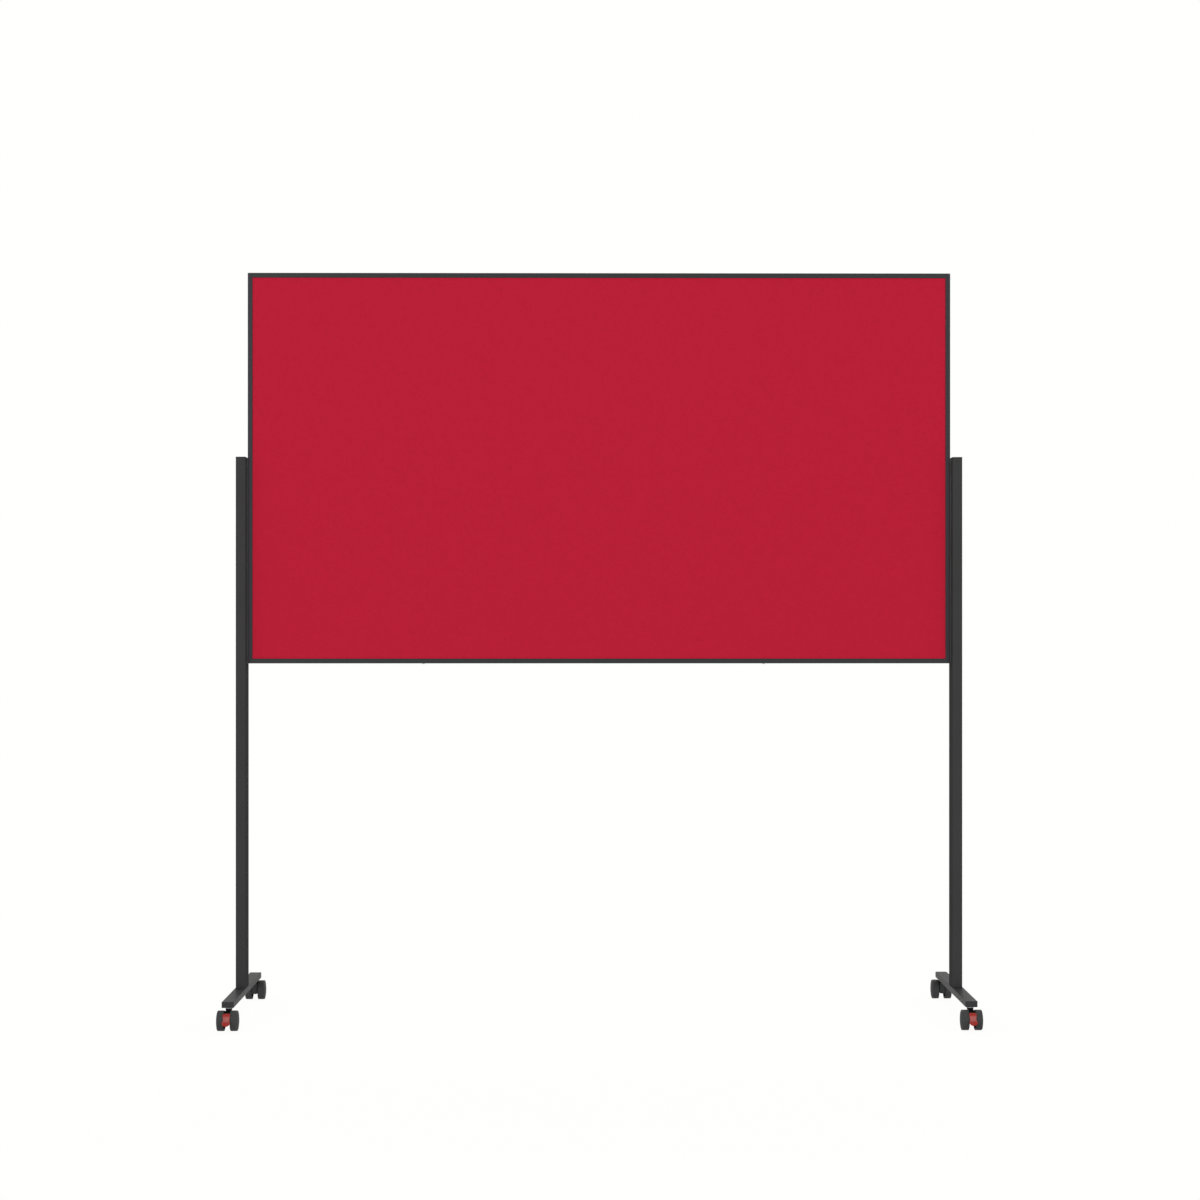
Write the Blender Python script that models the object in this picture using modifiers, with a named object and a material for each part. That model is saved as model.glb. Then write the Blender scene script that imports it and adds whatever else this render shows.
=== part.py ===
"""Mobile pinboard: a felt board in a slim frame, held between two posts that stand on caster feet.

The front of the board faces -Y, +X is to the right and +Z is up. The origin lies on the floor under
the middle of the board. All sizes are in metres and all angles in degrees.
"""

from math import atan2, cos, pi, radians, sin

import bmesh
import bpy
from mathutils import Matrix

# Clearances between neighbouring pieces
SEAT_GAP = 0.0003
RUNNING_GAP = 0.00015
CUT_OVERRUN = 0.002
WELD_DISTANCE = 0.000003

# Board
BOARD_WIDTH = 1.800
BOARD_HEIGHT = 1.000
BOARD_BOTTOM = 0.900
CORE_THICKNESS = 0.014
FELT_THICKNESS = 0.0026
FELT_RISE = 0.0004
PANEL_EDGE_GAP = 0.0007

# Frame rail section, from its outer face towards the middle of the board
RAIL_OUTER_WALL = 0.002
RAIL_CHAMBER = 0.003
RAIL_INNER_WALL = 0.0015
RAIL_GRIP = 0.0055
RAIL_LIP = 0.0018
RAIL_CHAMBER_SIDE = 0.0025

# Pieces inside the rail chamber
KEY_LEG = 0.040
SLOT_BAR_TO_KEY = 0.020
SLOT_BAR_PAST_SCREW = 0.025

# Posts
POST_WIDTH = 0.025
POST_DEPTH = 0.060
POST_WALL = 0.002
POST_CORNER = 0.00175
POST_TOP = 1.428
POST_TO_BOARD = 0.0032
POST_CAP_PLATE = 0.0025
POST_CAP_INSERT = 0.010
SPACER_DEPTH = 0.020
SPIGOT_WALL = 0.003
SPIGOT_OVER_SCREW = 0.040
SPIGOT_SCREW_HEIGHT = 0.202

# Feet
FOOT_LENGTH = 0.500
FOOT_WIDTH = 0.030
FOOT_HEIGHT = 0.015
FOOT_WALL = 0.002
FOOT_CORNER = 0.00155
PLUG_PLATE = 0.003
PLUG_PAST_STEM = 0.014

# Board screws, sunk flush into the outer side of the posts
BOARD_SCREW_RADIUS = 0.0025
BOARD_SCREW_HEAD_RADIUS = 0.0047
BOARD_SCREW_HEAD_DEPTH = 0.0027
BOARD_SCREW_SOCKET_RADIUS = 0.0017
BOARD_SCREW_SOCKET_DEPTH = 0.0018

# Spigot screws, seen as small heads low on the inner side of the posts
SPIGOT_SCREW_RADIUS = 0.002
SPIGOT_SCREW_HEAD_RADIUS = 0.003
SPIGOT_SCREW_HEAD_HEIGHT = 0.0013
SPIGOT_SCREW_PAST_WALL = 0.0027
SPIGOT_SCREW_SOCKET_RADIUS = 0.0013
SPIGOT_SCREW_SOCKET_DEPTH = 0.0009

# Rail screws, seen as small bright heads under the bottom rail
RAIL_SCREW_RADIUS = 0.00175
RAIL_SCREW_HEAD_RADIUS = 0.0035
RAIL_SCREW_HEAD_HEIGHT = 0.002
RAIL_SCREW_GRIP = 0.0148
RAIL_SCREW_SOCKET_RADIUS = 0.0015
RAIL_SCREW_SOCKET_DEPTH = 0.0012
RAIL_SCREW_LEFT = 0.451
RAIL_SCREW_RIGHT = 0.422

# Casters: the swivel axis stands in from the foot's end, and the axle trails behind it
CASTER_INSET = 0.021
CASTER_TRAIL = 0.020
WHEEL_RADIUS = 0.025
WHEEL_GAP = 0.0156
WHEEL_WIDTH = 0.0206
WHEEL_DOME = 0.0026
WHEEL_SHOULDER_WIDTH = 0.0045
WHEEL_SHOULDER_DROP = 0.0020
WHEEL_INNER_CHAMFER = 0.0010
HUB_RADIUS = 0.0065
AXLE_RADIUS = 0.003
AXLE_END_WALL = 0.006
BODY_SIDE_GAP = 0.0015
BODY_UNDER_AXLE = 0.005
BODY_CORNER = 0.003
BODY_FRONT_REACH = 0.0165
HOOD_INSET = 0.0008
HOOD_BACK_ANGLE = 75.0
HOOD_FRONT_ANGLE = 118.0
NECK_RADIUS = 0.00835
NECK_HEIGHT = 0.0055
NECK_ROOT = 0.0008
NECK_OVER_WHEEL = 0.0002
COLLAR_RADIUS = 0.005
COLLAR_HEIGHT = 0.001
STEM_RADIUS = 0.004
STEM_BELOW = 0.020
STEM_TOP_GAP = 0.0018

# Brake pedal: a curved plate in front of the treads, hung on a pin between two ears of the body
PEDAL_PIVOT_INSET = 0.0058
PEDAL_PIVOT_ANGLE = 51.3
PEDAL_PIN_RADIUS = 0.002
PEDAL_PIN_INSET = 0.0005
PEDAL_EAR_RADIUS = 0.0050
PEDAL_EAR_BACK_ANGLE = 100.0
PEDAL_EAR_FRONT_ANGLE = 190.0
PEDAL_EYE_RADIUS = 0.0034
PEDAL_TONGUE_WIDTH = 0.0058
PEDAL_PLATE = 0.0024
PEDAL_TREAD_GAP = 0.0005
PEDAL_SIDE_GAP = 0.0003
PEDAL_TOP_WIDTH = 0.0193
PEDAL_LIP_WIDTH = 0.0198
PEDAL_FLARE = 0.0090
PEDAL_TOP_ANGLE = 47.0
PEDAL_LIP_ANGLE = -15.0
PEDAL_TOP_ARCH = 5.0
PEDAL_LIP_ARCH = 8.0
PEDAL_COLUMNS = 5
PEDAL_TONGUE_SHARES = (0.18, 0.30, 0.44)

# Each row of the plate, from its top edge to its lip: how far it lies along the plate, how much of
# the flare it stands out, and how much of the top's and the lip's extra width it has
PEDAL_ROW_SHARES = (
    (0.000, 0.00, 0.80, 0.00),
    (0.073, 0.07, 1.00, 0.00),
    (0.170, 0.09, 1.00, 0.00),
    (0.250, 0.03, 0.50, 0.00),
    (0.315, 0.00, 0.00, 0.00),
    (0.400, -0.15, 0.00, 0.00),
    (0.515, -0.19, 0.00, 0.00),
    (0.610, -0.08, 0.00, 0.00),
    (0.685, 0.14, 0.00, 0.12),
    (0.750, 0.49, 0.00, 0.50),
    (0.800, 0.77, 0.00, 0.80),
    (0.865, 0.97, 0.00, 1.00),
    (0.935, 1.00, 0.00, 0.97),
    (1.000, 0.92, 0.00, 0.85),
)

# Facets
CORNER_SEGMENTS = 3
SHOULDER_SEGMENTS = 2
ARC_SEGMENTS = 5
SCREW_SEGMENTS = 12
PIN_SEGMENTS = 16
NECK_SEGMENTS = 24
WHEEL_SEGMENTS = 28
SOCKET_SIDES = 6
SMOOTH_ANGLE = 34.0

# Sizes that follow from the ones above
RAIL_FLOOR = RAIL_OUTER_WALL + RAIL_CHAMBER + RAIL_INNER_WALL
RAIL_FACE = RAIL_FLOOR + RAIL_GRIP
RAIL_DEPTH = CORE_THICKNESS + 2 * (FELT_THICKNESS + 2 * SEAT_GAP + RAIL_LIP)
PANEL_INSET = RAIL_FLOOR + PANEL_EDGE_GAP
BOARD_MIDDLE = BOARD_BOTTOM + BOARD_HEIGHT / 2
BOARD_TOP = BOARD_BOTTOM + BOARD_HEIGHT
POST_X = BOARD_WIDTH / 2 + POST_TO_BOARD + POST_WIDTH / 2
CASTER_Y = FOOT_LENGTH / 2 - CASTER_INSET
PLUG_LENGTH = CASTER_INSET + STEM_RADIUS + PLUG_PAST_STEM
NECK_BASE = 2 * WHEEL_RADIUS + NECK_OVER_WHEEL
NECK_TOP = NECK_BASE + NECK_HEIGHT - COLLAR_HEIGHT
COLLAR_BASE = NECK_TOP + SEAT_GAP
COLLAR_TOP = COLLAR_BASE + COLLAR_HEIGHT
FOOT_BOTTOM = COLLAR_TOP + SEAT_GAP
FOOT_TOP = FOOT_BOTTOM + FOOT_HEIGHT
STEM_TOP = FOOT_TOP - FOOT_WALL - SEAT_GAP - STEM_TOP_GAP
POST_BOTTOM = FOOT_TOP + SEAT_GAP
POST_TUBE_TOP = POST_TOP - POST_CAP_PLATE - SEAT_GAP
SPACER_LENGTH = POST_TUBE_TOP - BOARD_BOTTOM
SPACER_MIDDLE = BOARD_BOTTOM + SPACER_LENGTH / 2
SPACER_THICKNESS = POST_TO_BOARD - 2 * SEAT_GAP
CHAMBER_FILL = RAIL_CHAMBER - 2 * SEAT_GAP
CHAMBER_FILL_DEPTH = RAIL_DEPTH - 2 * (RAIL_CHAMBER_SIDE + SEAT_GAP)
CHAMBER_MIDDLE = RAIL_OUTER_WALL + RAIL_CHAMBER / 2
SLOT_BAR_LENGTH = SPACER_LENGTH - 2 * (KEY_LEG + SLOT_BAR_TO_KEY)
BOARD_SCREW_SPREAD = SLOT_BAR_LENGTH / 2 - SLOT_BAR_PAST_SCREW
BOARD_SCREW_LENGTH = POST_WIDTH + POST_TO_BOARD + RAIL_OUTER_WALL + RAIL_CHAMBER - SEAT_GAP
SPIGOT_SCREW_LENGTH = POST_WALL + SEAT_GAP + SPIGOT_WALL + SPIGOT_SCREW_PAST_WALL
SPIGOT_LENGTH = SPIGOT_SCREW_HEIGHT + SPIGOT_OVER_SCREW - POST_BOTTOM
RAIL_SCREW_LENGTH = PANEL_INSET + RAIL_SCREW_GRIP
BODY_WIDTH = WHEEL_GAP - 2 * BODY_SIDE_GAP
BODY_BOTTOM = WHEEL_RADIUS - AXLE_RADIUS - BODY_UNDER_AXLE
HUB_LENGTH = BODY_SIDE_GAP - SEAT_GAP
WHEEL_OUTER = WHEEL_GAP / 2 + WHEEL_WIDTH
AXLE_HALF = WHEEL_OUTER - AXLE_END_WALL
PIVOT_RADIUS = WHEEL_RADIUS - PEDAL_PIVOT_INSET
SIDES = {"left": -1, "right": 1}
ENDS = {"front": -1, "rear": 1}
LEVELS = {"lower": -1, "upper": 1}

# Turns that carry an outline's plane and its thickness into place
ALONG_X = Matrix(((0, 0, 1, 0), (1, 0, 0, 0), (0, 1, 0, 0), (0, 0, 0, 1)))
ALONG_Y = Matrix.Rotation(pi / 2, 4, "X")

# Finishes: colour as 0 to 255 values read as sRGB, roughness and metallic value
FINISHES = {
    "powder_coat": ((60, 61, 61), 0.45, 0.0),
    "anodised": ((60, 62, 62), 0.38, 0.6),
    "felt": ((181, 32, 54), 0.95, 0.0),
    "fibreboard": ((168, 146, 116), 0.85, 0.0),
    "aluminium": ((190, 191, 193), 0.35, 1.0),
    "cap_plastic": ((52, 53, 54), 0.5, 0.0),
    "black_screw": ((38, 38, 39), 0.4, 0.7),
    "zinc": ((205, 205, 208), 0.3, 1.0),
    "nylon": ((34, 35, 36), 0.45, 0.0),
    "tread": ((66, 66, 67), 0.6, 0.0),
    "pedal_red": ((176, 40, 38), 0.35, 0.0),
}


def clear_scene():
    """Remove whatever the scene holds."""
    for old in list(bpy.data.objects):
        bpy.data.objects.remove(old, do_unlink=True)
    for old in list(bpy.data.collections):
        bpy.data.collections.remove(old)


def new_collection(name):
    """Make a collection in the scene."""
    collection = bpy.data.collections.new(name)
    bpy.context.scene.collection.children.link(collection)
    return collection


def move_to(obj, collection):
    """Link an object to one collection only."""
    for old in list(obj.users_collection):
        old.objects.unlink(obj)
    collection.objects.link(obj)


def linear_channel(value):
    """Turn one 0 to 255 sRGB value into a linear one."""
    share = value / 255
    if share <= 0.04045:
        return share / 12.92
    return ((share + 0.055) / 1.055) ** 2.4


def material_of(kind, finish):
    """Give a kind of sub-part its own material with one of the finishes."""
    name = kind + "_" + finish
    found = bpy.data.materials.get(name)
    if found:
        return found
    colour, roughness, metallic = FINISHES[finish]
    made = bpy.data.materials.new(name)
    made.use_nodes = True
    shader = made.node_tree.nodes["Principled BSDF"]
    shader.inputs["Base Color"].default_value = [linear_channel(value) for value in colour] + [1]
    shader.inputs["Roughness"].default_value = roughness
    shader.inputs["Metallic"].default_value = metallic
    return made


def finish_part(obj, name, kind, finish):
    """Name a finished sub-part, dress it and put it in the object's collection."""
    obj.name = name
    obj.data.name = name
    obj.data.materials.clear()
    obj.data.materials.append(material_of(kind, finish))
    move_to(obj, bpy.data.collections["mobile_pinboard"])
    return obj


def mesh_object(name, mesh):
    """Make an object of a mesh and link it to the scene."""
    obj = bpy.data.objects.new(name, mesh)
    bpy.context.scene.collection.objects.link(obj)
    return obj


def smooth(mesh):
    """Shade a mesh smooth where its faces meet at a shallow angle."""
    mesh.shade_smooth()
    mesh.set_sharp_from_angle(angle=radians(SMOOTH_ANGLE))


def weld(mesh):
    """Join the doubled points of a mesh and turn its faces outwards."""
    work = bmesh.new()
    work.from_mesh(mesh)
    bmesh.ops.remove_doubles(work, verts=work.verts, dist=WELD_DISTANCE)
    bmesh.ops.recalc_face_normals(work, faces=work.faces)
    work.to_mesh(mesh)
    work.free()


def box(size, location):
    """Make a box of a given size about a place."""
    bpy.ops.mesh.primitive_cube_add(size=1, location=location)
    obj = bpy.context.object
    obj.data.transform(Matrix.Diagonal((size[0], size[1], size[2], 1)))
    return obj


def cylinder(radius, length, location, turn, segments):
    """Make a cylinder about a place, its length along X, Y or Z."""
    bpy.ops.mesh.primitive_cylinder_add(vertices=segments, radius=radius, depth=length, location=location)
    obj = bpy.context.object
    turns = {"X": Matrix.Rotation(pi / 2, 4, "Y"), "Y": Matrix.Rotation(pi / 2, 4, "X"), "Z": Matrix()}
    obj.data.transform(turns[turn])
    return obj


def arc_points(middle, radius, start, end, segments):
    """List the points of an arc, from one angle in degrees to another."""
    points = []
    for step in range(segments + 1):
        angle = radians(start + (end - start) * step / segments)
        points.append((middle[0] + radius * cos(angle), middle[1] + radius * sin(angle)))
    return points


def rectangle(width, height):
    """Outline a rectangle with sharp corners about the origin."""
    corners = ((1, 1), (-1, 1), (-1, -1), (1, -1))
    return [(across * width / 2, along * height / 2) for across, along in corners]


def rounded_rectangle(width, height, radius):
    """Outline a rectangle with rounded corners about the origin."""
    if radius <= 0:
        return rectangle(width, height)
    points = []
    corners = ((1, 1, 0), (-1, 1, 90), (-1, -1, 180), (1, -1, 270))
    for across, along, start in corners:
        middle = (across * (width / 2 - radius), along * (height / 2 - radius))
        points += arc_points(middle, radius, start, start + 90, CORNER_SEGMENTS)
    return points


def tube_section(width, height, wall, corner):
    """Outline a rectangular tube: its outside, then the hole that its wall leaves."""
    outside = rounded_rectangle(width, height, corner)
    hole = rounded_rectangle(width - 2 * wall, height - 2 * wall, corner - wall)
    return [outside, hole]


def prism(outlines, length, turn=None):
    """Make a prism of flat outlines, the later ones being holes, with its length along the third axis."""
    curve = bpy.data.curves.new("outline", "CURVE")
    curve.dimensions = "2D"
    curve.fill_mode = "BOTH"
    curve.extrude = length / 2
    for outline in outlines:
        spline = curve.splines.new("POLY")
        spline.points.add(len(outline) - 1)
        for point, place in zip(spline.points, outline):
            point.co = (place[0], place[1], 0, 1)
        spline.use_cyclic_u = True
    source = bpy.data.objects.new("outline", curve)
    bpy.context.scene.collection.objects.link(source)
    graph = bpy.context.evaluated_depsgraph_get()
    mesh = bpy.data.meshes.new_from_object(source.evaluated_get(graph))
    bpy.data.objects.remove(source)
    bpy.data.curves.remove(curve)
    weld(mesh)
    if turn:
        mesh.transform(turn)
    smooth(mesh)
    return mesh_object("prism", mesh)


def turned(profile, segments):
    """Turn a profile of radius and height about Z. It runs down the outer side, from axis to axis."""
    work = bmesh.new()
    points = [work.verts.new((radius, 0, height)) for radius, height in profile]
    for first, second in zip(points, points[1:]):
        work.edges.new((first, second))
    mesh = bpy.data.meshes.new("profile")
    work.to_mesh(mesh)
    work.free()
    obj = mesh_object("profile", mesh)
    screw = obj.modifiers.new("turn", "SCREW")
    screw.axis = "Z"
    screw.steps = segments
    screw.render_steps = segments
    screw.use_smooth_shade = False
    screw.use_merge_vertices = True
    screw.merge_threshold = WELD_DISTANCE
    return obj


def combine(obj, other, operation):
    """Add a Boolean modifier that joins another object to this one or cuts it away."""
    step = obj.modifiers.new(operation.lower(), "BOOLEAN")
    step.operation = operation
    step.solver = "EXACT"
    step.object = other


def settle(obj, helpers=()):
    """Turn an object and its modifiers into a shaded mesh, and remove the helpers that they used."""
    graph = bpy.context.evaluated_depsgraph_get()
    mesh = bpy.data.meshes.new_from_object(obj.evaluated_get(graph))
    mesh.transform(obj.matrix_world)
    bpy.data.objects.remove(obj)
    for helper in helpers:
        bpy.data.objects.remove(helper)
    smooth(mesh)
    return mesh


def keep_cutter(cutter, name):
    """Keep a cutting shape out of the object, in its own collection."""
    cutter.name = name
    cutter.hide_render = True
    cutter.display_type = "WIRE"
    move_to(cutter, bpy.data.collections["cutters"])
    return cutter


def empty_at(name, location, parent=None, turn=0):
    """Add an empty that marks a moving piece's axis."""
    empty = bpy.data.objects.new(name, None)
    empty.empty_display_size = WHEEL_RADIUS
    bpy.data.collections["mobile_pinboard"].objects.link(empty)
    empty.parent = parent
    empty.location = location
    empty.rotation_euler = (0, 0, turn)
    return empty


def rail_section():
    """Outline the frame rail: a chamber behind the outer face, and two lips that hold the panel."""
    half = RAIL_DEPTH / 2
    lip = half - RAIL_LIP
    outside = [
        (0, -half),
        (RAIL_FACE, -half),
        (RAIL_FACE, -lip),
        (RAIL_FLOOR, -lip),
        (RAIL_FLOOR, lip),
        (RAIL_FACE, lip),
        (RAIL_FACE, half),
        (0, half),
    ]
    side = half - RAIL_CHAMBER_SIDE
    near = RAIL_OUTER_WALL
    far = RAIL_OUTER_WALL + RAIL_CHAMBER
    chamber = [(near, -side), (near, side), (far, side), (far, -side)]
    return [outside, chamber]


def mitred_rail(length):
    """Make a rail along Z with its outer face at zero, its ends drawn in to half of a square corner."""
    obj = prism(rail_section(), length)
    for vertex in obj.data.vertices:
        end = 1 if vertex.co.z > 0 else -1
        vertex.co.z -= end * (vertex.co.x + SEAT_GAP / 2)
    return obj


def add_rails():
    """Add the four frame rails, mitred at the corners."""
    places = {
        "left": (BOARD_HEIGHT, (-BOARD_WIDTH / 2, 0, BOARD_MIDDLE), (0, 0, 0)),
        "right": (BOARD_HEIGHT, (BOARD_WIDTH / 2, 0, BOARD_MIDDLE), (0, 0, pi)),
        "bottom": (BOARD_WIDTH, (0, 0, BOARD_BOTTOM), (0, -pi / 2, 0)),
        "top": (BOARD_WIDTH, (0, 0, BOARD_TOP), (0, pi / 2, 0)),
    }
    rails = {}
    for name, (length, location, rotation) in places.items():
        rail = mitred_rail(length)
        rail.location = location
        rail.rotation_euler = rotation
        rails[name] = finish_part(rail, "rail_" + name, "rail", "anodised")
    return rails


def add_panel():
    """Add the fibreboard core and the felt on its two faces, which stands free inside the lips."""
    width = BOARD_WIDTH - 2 * PANEL_INSET
    height = BOARD_HEIGHT - 2 * PANEL_INSET
    core = box((width, CORE_THICKNESS, height), (0, 0, BOARD_MIDDLE))
    finish_part(core, "board_core", "board_core", "fibreboard")
    offset = CORE_THICKNESS / 2 + SEAT_GAP + FELT_THICKNESS / 2
    free_width = BOARD_WIDTH - 2 * (RAIL_FACE + SEAT_GAP)
    free_height = BOARD_HEIGHT - 2 * (RAIL_FACE + SEAT_GAP)
    free_depth = FELT_THICKNESS / 2 + FELT_RISE
    for name, end in (("front", -1), ("back", 1)):
        pressed = box((width, FELT_THICKNESS, height), (0, end * offset, BOARD_MIDDLE))
        place = (0, end * (offset + free_depth / 2), BOARD_MIDDLE)
        free = box((free_width, free_depth, free_height), place)
        combine(pressed, free, "UNION")
        felt = mesh_object("felt", settle(pressed, [free]))
        finish_part(felt, "felt_" + name, "felt", "felt")
    return core


def add_corner_keys():
    """Add the angled keys that join the rails inside their chambers."""
    near = RAIL_OUTER_WALL + SEAT_GAP
    far = near + CHAMBER_FILL
    outline = [(near, near), (KEY_LEG, near), (KEY_LEG, far), (far, far), (far, KEY_LEG), (near, KEY_LEG)]
    for level, up in (("bottom", 1), ("top", -1)):
        for side, sign in SIDES.items():
            placed = [(sign * (BOARD_WIDTH / 2 - x), -up * (BOARD_HEIGHT / 2 - z)) for x, z in outline]
            key = prism([placed], CHAMBER_FILL_DEPTH, ALONG_Y)
            key.location = (0, 0, BOARD_MIDDLE)
            finish_part(key, "corner_key_" + level + "_" + side, "corner_key", "zinc")


def screw_mesh(head, shank_radius, length, socket_radius, socket_depth):
    """Make a screw along Z: a head profile, then a shank below it, with a hexagon socket in the head."""
    profile = list(head)
    base = head[-1][1]
    profile += [(shank_radius, base), (shank_radius, base - length), (0, base - length)]
    screw = turned(profile, SCREW_SEGMENTS)
    top = head[0][1]
    depth = socket_depth + CUT_OVERRUN
    middle = top - socket_depth + depth / 2
    socket = cylinder(socket_radius, depth, (0, 0, middle), "Z", SOCKET_SIDES)
    combine(screw, socket, "DIFFERENCE")
    return settle(screw, [socket])


def button_head(radius, height):
    """Profile a low round head that rests on zero, from its middle down to its seat."""
    crown_share = 0.62
    edge_share = 0.35
    return [
        (0, height),
        (radius * crown_share, height),
        (radius, height * edge_share),
        (radius, 0),
    ]


def board_screw_profile(extra):
    """Profile the sunk head and shank of a board screw, widened by a clearance."""
    return [
        (0, extra),
        (BOARD_SCREW_HEAD_RADIUS + extra, extra),
        (BOARD_SCREW_HEAD_RADIUS + extra, 0),
        (BOARD_SCREW_RADIUS + extra, -BOARD_SCREW_HEAD_DEPTH),
    ]


def add_board_screws(posts, spacers, rails, slot_bars):
    """Add the screws that run through post, spacer and rail into the slot bar, and cut their holes."""
    head = [(0, 0), (BOARD_SCREW_HEAD_RADIUS, 0), (BOARD_SCREW_RADIUS, -BOARD_SCREW_HEAD_DEPTH)]
    shank = BOARD_SCREW_LENGTH - BOARD_SCREW_HEAD_DEPTH
    mesh = screw_mesh(head, BOARD_SCREW_RADIUS, shank, BOARD_SCREW_SOCKET_RADIUS, BOARD_SCREW_SOCKET_DEPTH)
    for side, sign in SIDES.items():
        for level, up in LEVELS.items():
            place = (sign * (POST_X + POST_WIDTH / 2), 0, SPACER_MIDDLE + up * BOARD_SCREW_SPREAD)
            turn = (0, sign * pi / 2, 0)
            screw = mesh_object("board_screw", mesh)
            screw.location = place
            screw.rotation_euler = turn
            finish_part(screw, "board_screw_" + side + "_" + level, "board_screw", "black_screw")
            profile = board_screw_profile(SEAT_GAP)
            reach = -(BOARD_SCREW_LENGTH + SEAT_GAP / 2)
            profile += [(BOARD_SCREW_RADIUS + SEAT_GAP, reach), (0, reach)]
            cutter = turned(profile, SCREW_SEGMENTS)
            cutter.location = place
            cutter.rotation_euler = turn
            keep_cutter(cutter, "cut_board_screw_" + side + "_" + level)
            for piece in (posts[side], spacers[side], rails[side], slot_bars[side]):
                combine(piece, cutter, "DIFFERENCE")


def add_slot_bars():
    """Add the bars in the side rails' chambers that the board screws thread into."""
    bars = {}
    for side, sign in SIDES.items():
        place = (sign * (BOARD_WIDTH / 2 - CHAMBER_MIDDLE), 0, SPACER_MIDDLE)
        bar = box((CHAMBER_FILL, CHAMBER_FILL_DEPTH, SLOT_BAR_LENGTH), place)
        bars[side] = finish_part(bar, "slot_bar_" + side, "slot_bar", "zinc")
    return bars


def add_spacers():
    """Add the strips that keep the frame off the posts."""
    spacers = {}
    for side, sign in SIDES.items():
        place = (sign * (BOARD_WIDTH / 2 + POST_TO_BOARD / 2), 0, SPACER_MIDDLE)
        strip = box((SPACER_THICKNESS, SPACER_DEPTH, SPACER_LENGTH), place)
        spacers[side] = finish_part(strip, "spacer_" + side, "spacer", "cap_plastic")
    return spacers


def add_rail_screws(rail, core):
    """Add the two screws that run up through the bottom rail into the core, and cut their holes."""
    head = button_head(RAIL_SCREW_HEAD_RADIUS, RAIL_SCREW_HEAD_HEIGHT)
    mesh = screw_mesh(
        head, RAIL_SCREW_RADIUS, RAIL_SCREW_LENGTH, RAIL_SCREW_SOCKET_RADIUS, RAIL_SCREW_SOCKET_DEPTH
    )
    for name, x in (("left", -RAIL_SCREW_LEFT), ("right", RAIL_SCREW_RIGHT)):
        screw = mesh_object("rail_screw", mesh)
        screw.location = (x, 0, BOARD_BOTTOM - SEAT_GAP)
        screw.rotation_euler = (pi, 0, 0)
        finish_part(screw, "rail_screw_" + name, "rail_screw", "zinc")
        length = RAIL_SCREW_LENGTH + CUT_OVERRUN
        middle = (x, 0, BOARD_BOTTOM + length / 2 - CUT_OVERRUN / 2)
        cutter = cylinder(RAIL_SCREW_RADIUS + SEAT_GAP, length, middle, "Z", SCREW_SEGMENTS)
        keep_cutter(cutter, "cut_rail_screw_" + name)
        combine(rail, cutter, "DIFFERENCE")
        combine(core, cutter, "DIFFERENCE")


def add_posts():
    """Add the two posts, hollow tubes that stand on the feet."""
    section = tube_section(POST_WIDTH, POST_DEPTH, POST_WALL, POST_CORNER)
    length = POST_TUBE_TOP - POST_BOTTOM
    posts = {}
    for side, sign in SIDES.items():
        post = prism(section, length)
        post.location = (sign * POST_X, 0, POST_BOTTOM + length / 2)
        posts[side] = finish_part(post, "post_" + side, "post", "powder_coat")
    return posts


def add_post_caps():
    """Add the caps that close the posts: a flush plate with a plug under it."""
    outline = rounded_rectangle(POST_WIDTH, POST_DEPTH, POST_CORNER)
    inside = 2 * (POST_WALL + SEAT_GAP)
    plug_height = POST_CAP_INSERT + POST_CAP_PLATE / 2
    plate = prism([outline], POST_CAP_PLATE)
    plug = box((POST_WIDTH - inside, POST_DEPTH - inside, plug_height), (0, 0, -plug_height / 2))
    combine(plate, plug, "UNION")
    mesh = settle(plate, [plug])
    for side, sign in SIDES.items():
        cap = mesh_object("post_cap", mesh)
        cap.location = (sign * POST_X, 0, POST_TOP - POST_CAP_PLATE / 2)
        finish_part(cap, "post_cap_" + side, "post_cap", "cap_plastic")


def add_spigots(posts):
    """Add the tubes that rise from the feet into the posts, and the screws that hold the posts on them."""
    inside = 2 * (POST_WALL + SEAT_GAP)
    section = tube_section(POST_WIDTH - inside, POST_DEPTH - inside, SPIGOT_WALL, 0)
    head = button_head(SPIGOT_SCREW_HEAD_RADIUS, SPIGOT_SCREW_HEAD_HEIGHT)
    mesh = screw_mesh(
        head, SPIGOT_SCREW_RADIUS, SPIGOT_SCREW_LENGTH, SPIGOT_SCREW_SOCKET_RADIUS, SPIGOT_SCREW_SOCKET_DEPTH
    )
    for side, sign in SIDES.items():
        spigot = prism(section, SPIGOT_LENGTH)
        spigot.location = (sign * POST_X, 0, POST_BOTTOM + SPIGOT_LENGTH / 2)
        finish_part(spigot, "spigot_" + side, "spigot", "zinc")
        face = sign * (POST_X - POST_WIDTH / 2)
        screw = mesh_object("spigot_screw", mesh)
        screw.location = (face - sign * SEAT_GAP, 0, SPIGOT_SCREW_HEIGHT)
        screw.rotation_euler = (0, -sign * pi / 2, 0)
        finish_part(screw, "spigot_screw_" + side, "spigot_screw", "black_screw")
        length = SPIGOT_SCREW_LENGTH + CUT_OVERRUN
        middle = (face + sign * (length / 2 - CUT_OVERRUN / 2), 0, SPIGOT_SCREW_HEIGHT)
        cutter = cylinder(SPIGOT_SCREW_RADIUS + SEAT_GAP, length, middle, "X", SCREW_SEGMENTS)
        keep_cutter(cutter, "cut_spigot_screw_" + side)
        combine(posts[side], cutter, "DIFFERENCE")
        combine(spigot, cutter, "DIFFERENCE")


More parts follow.
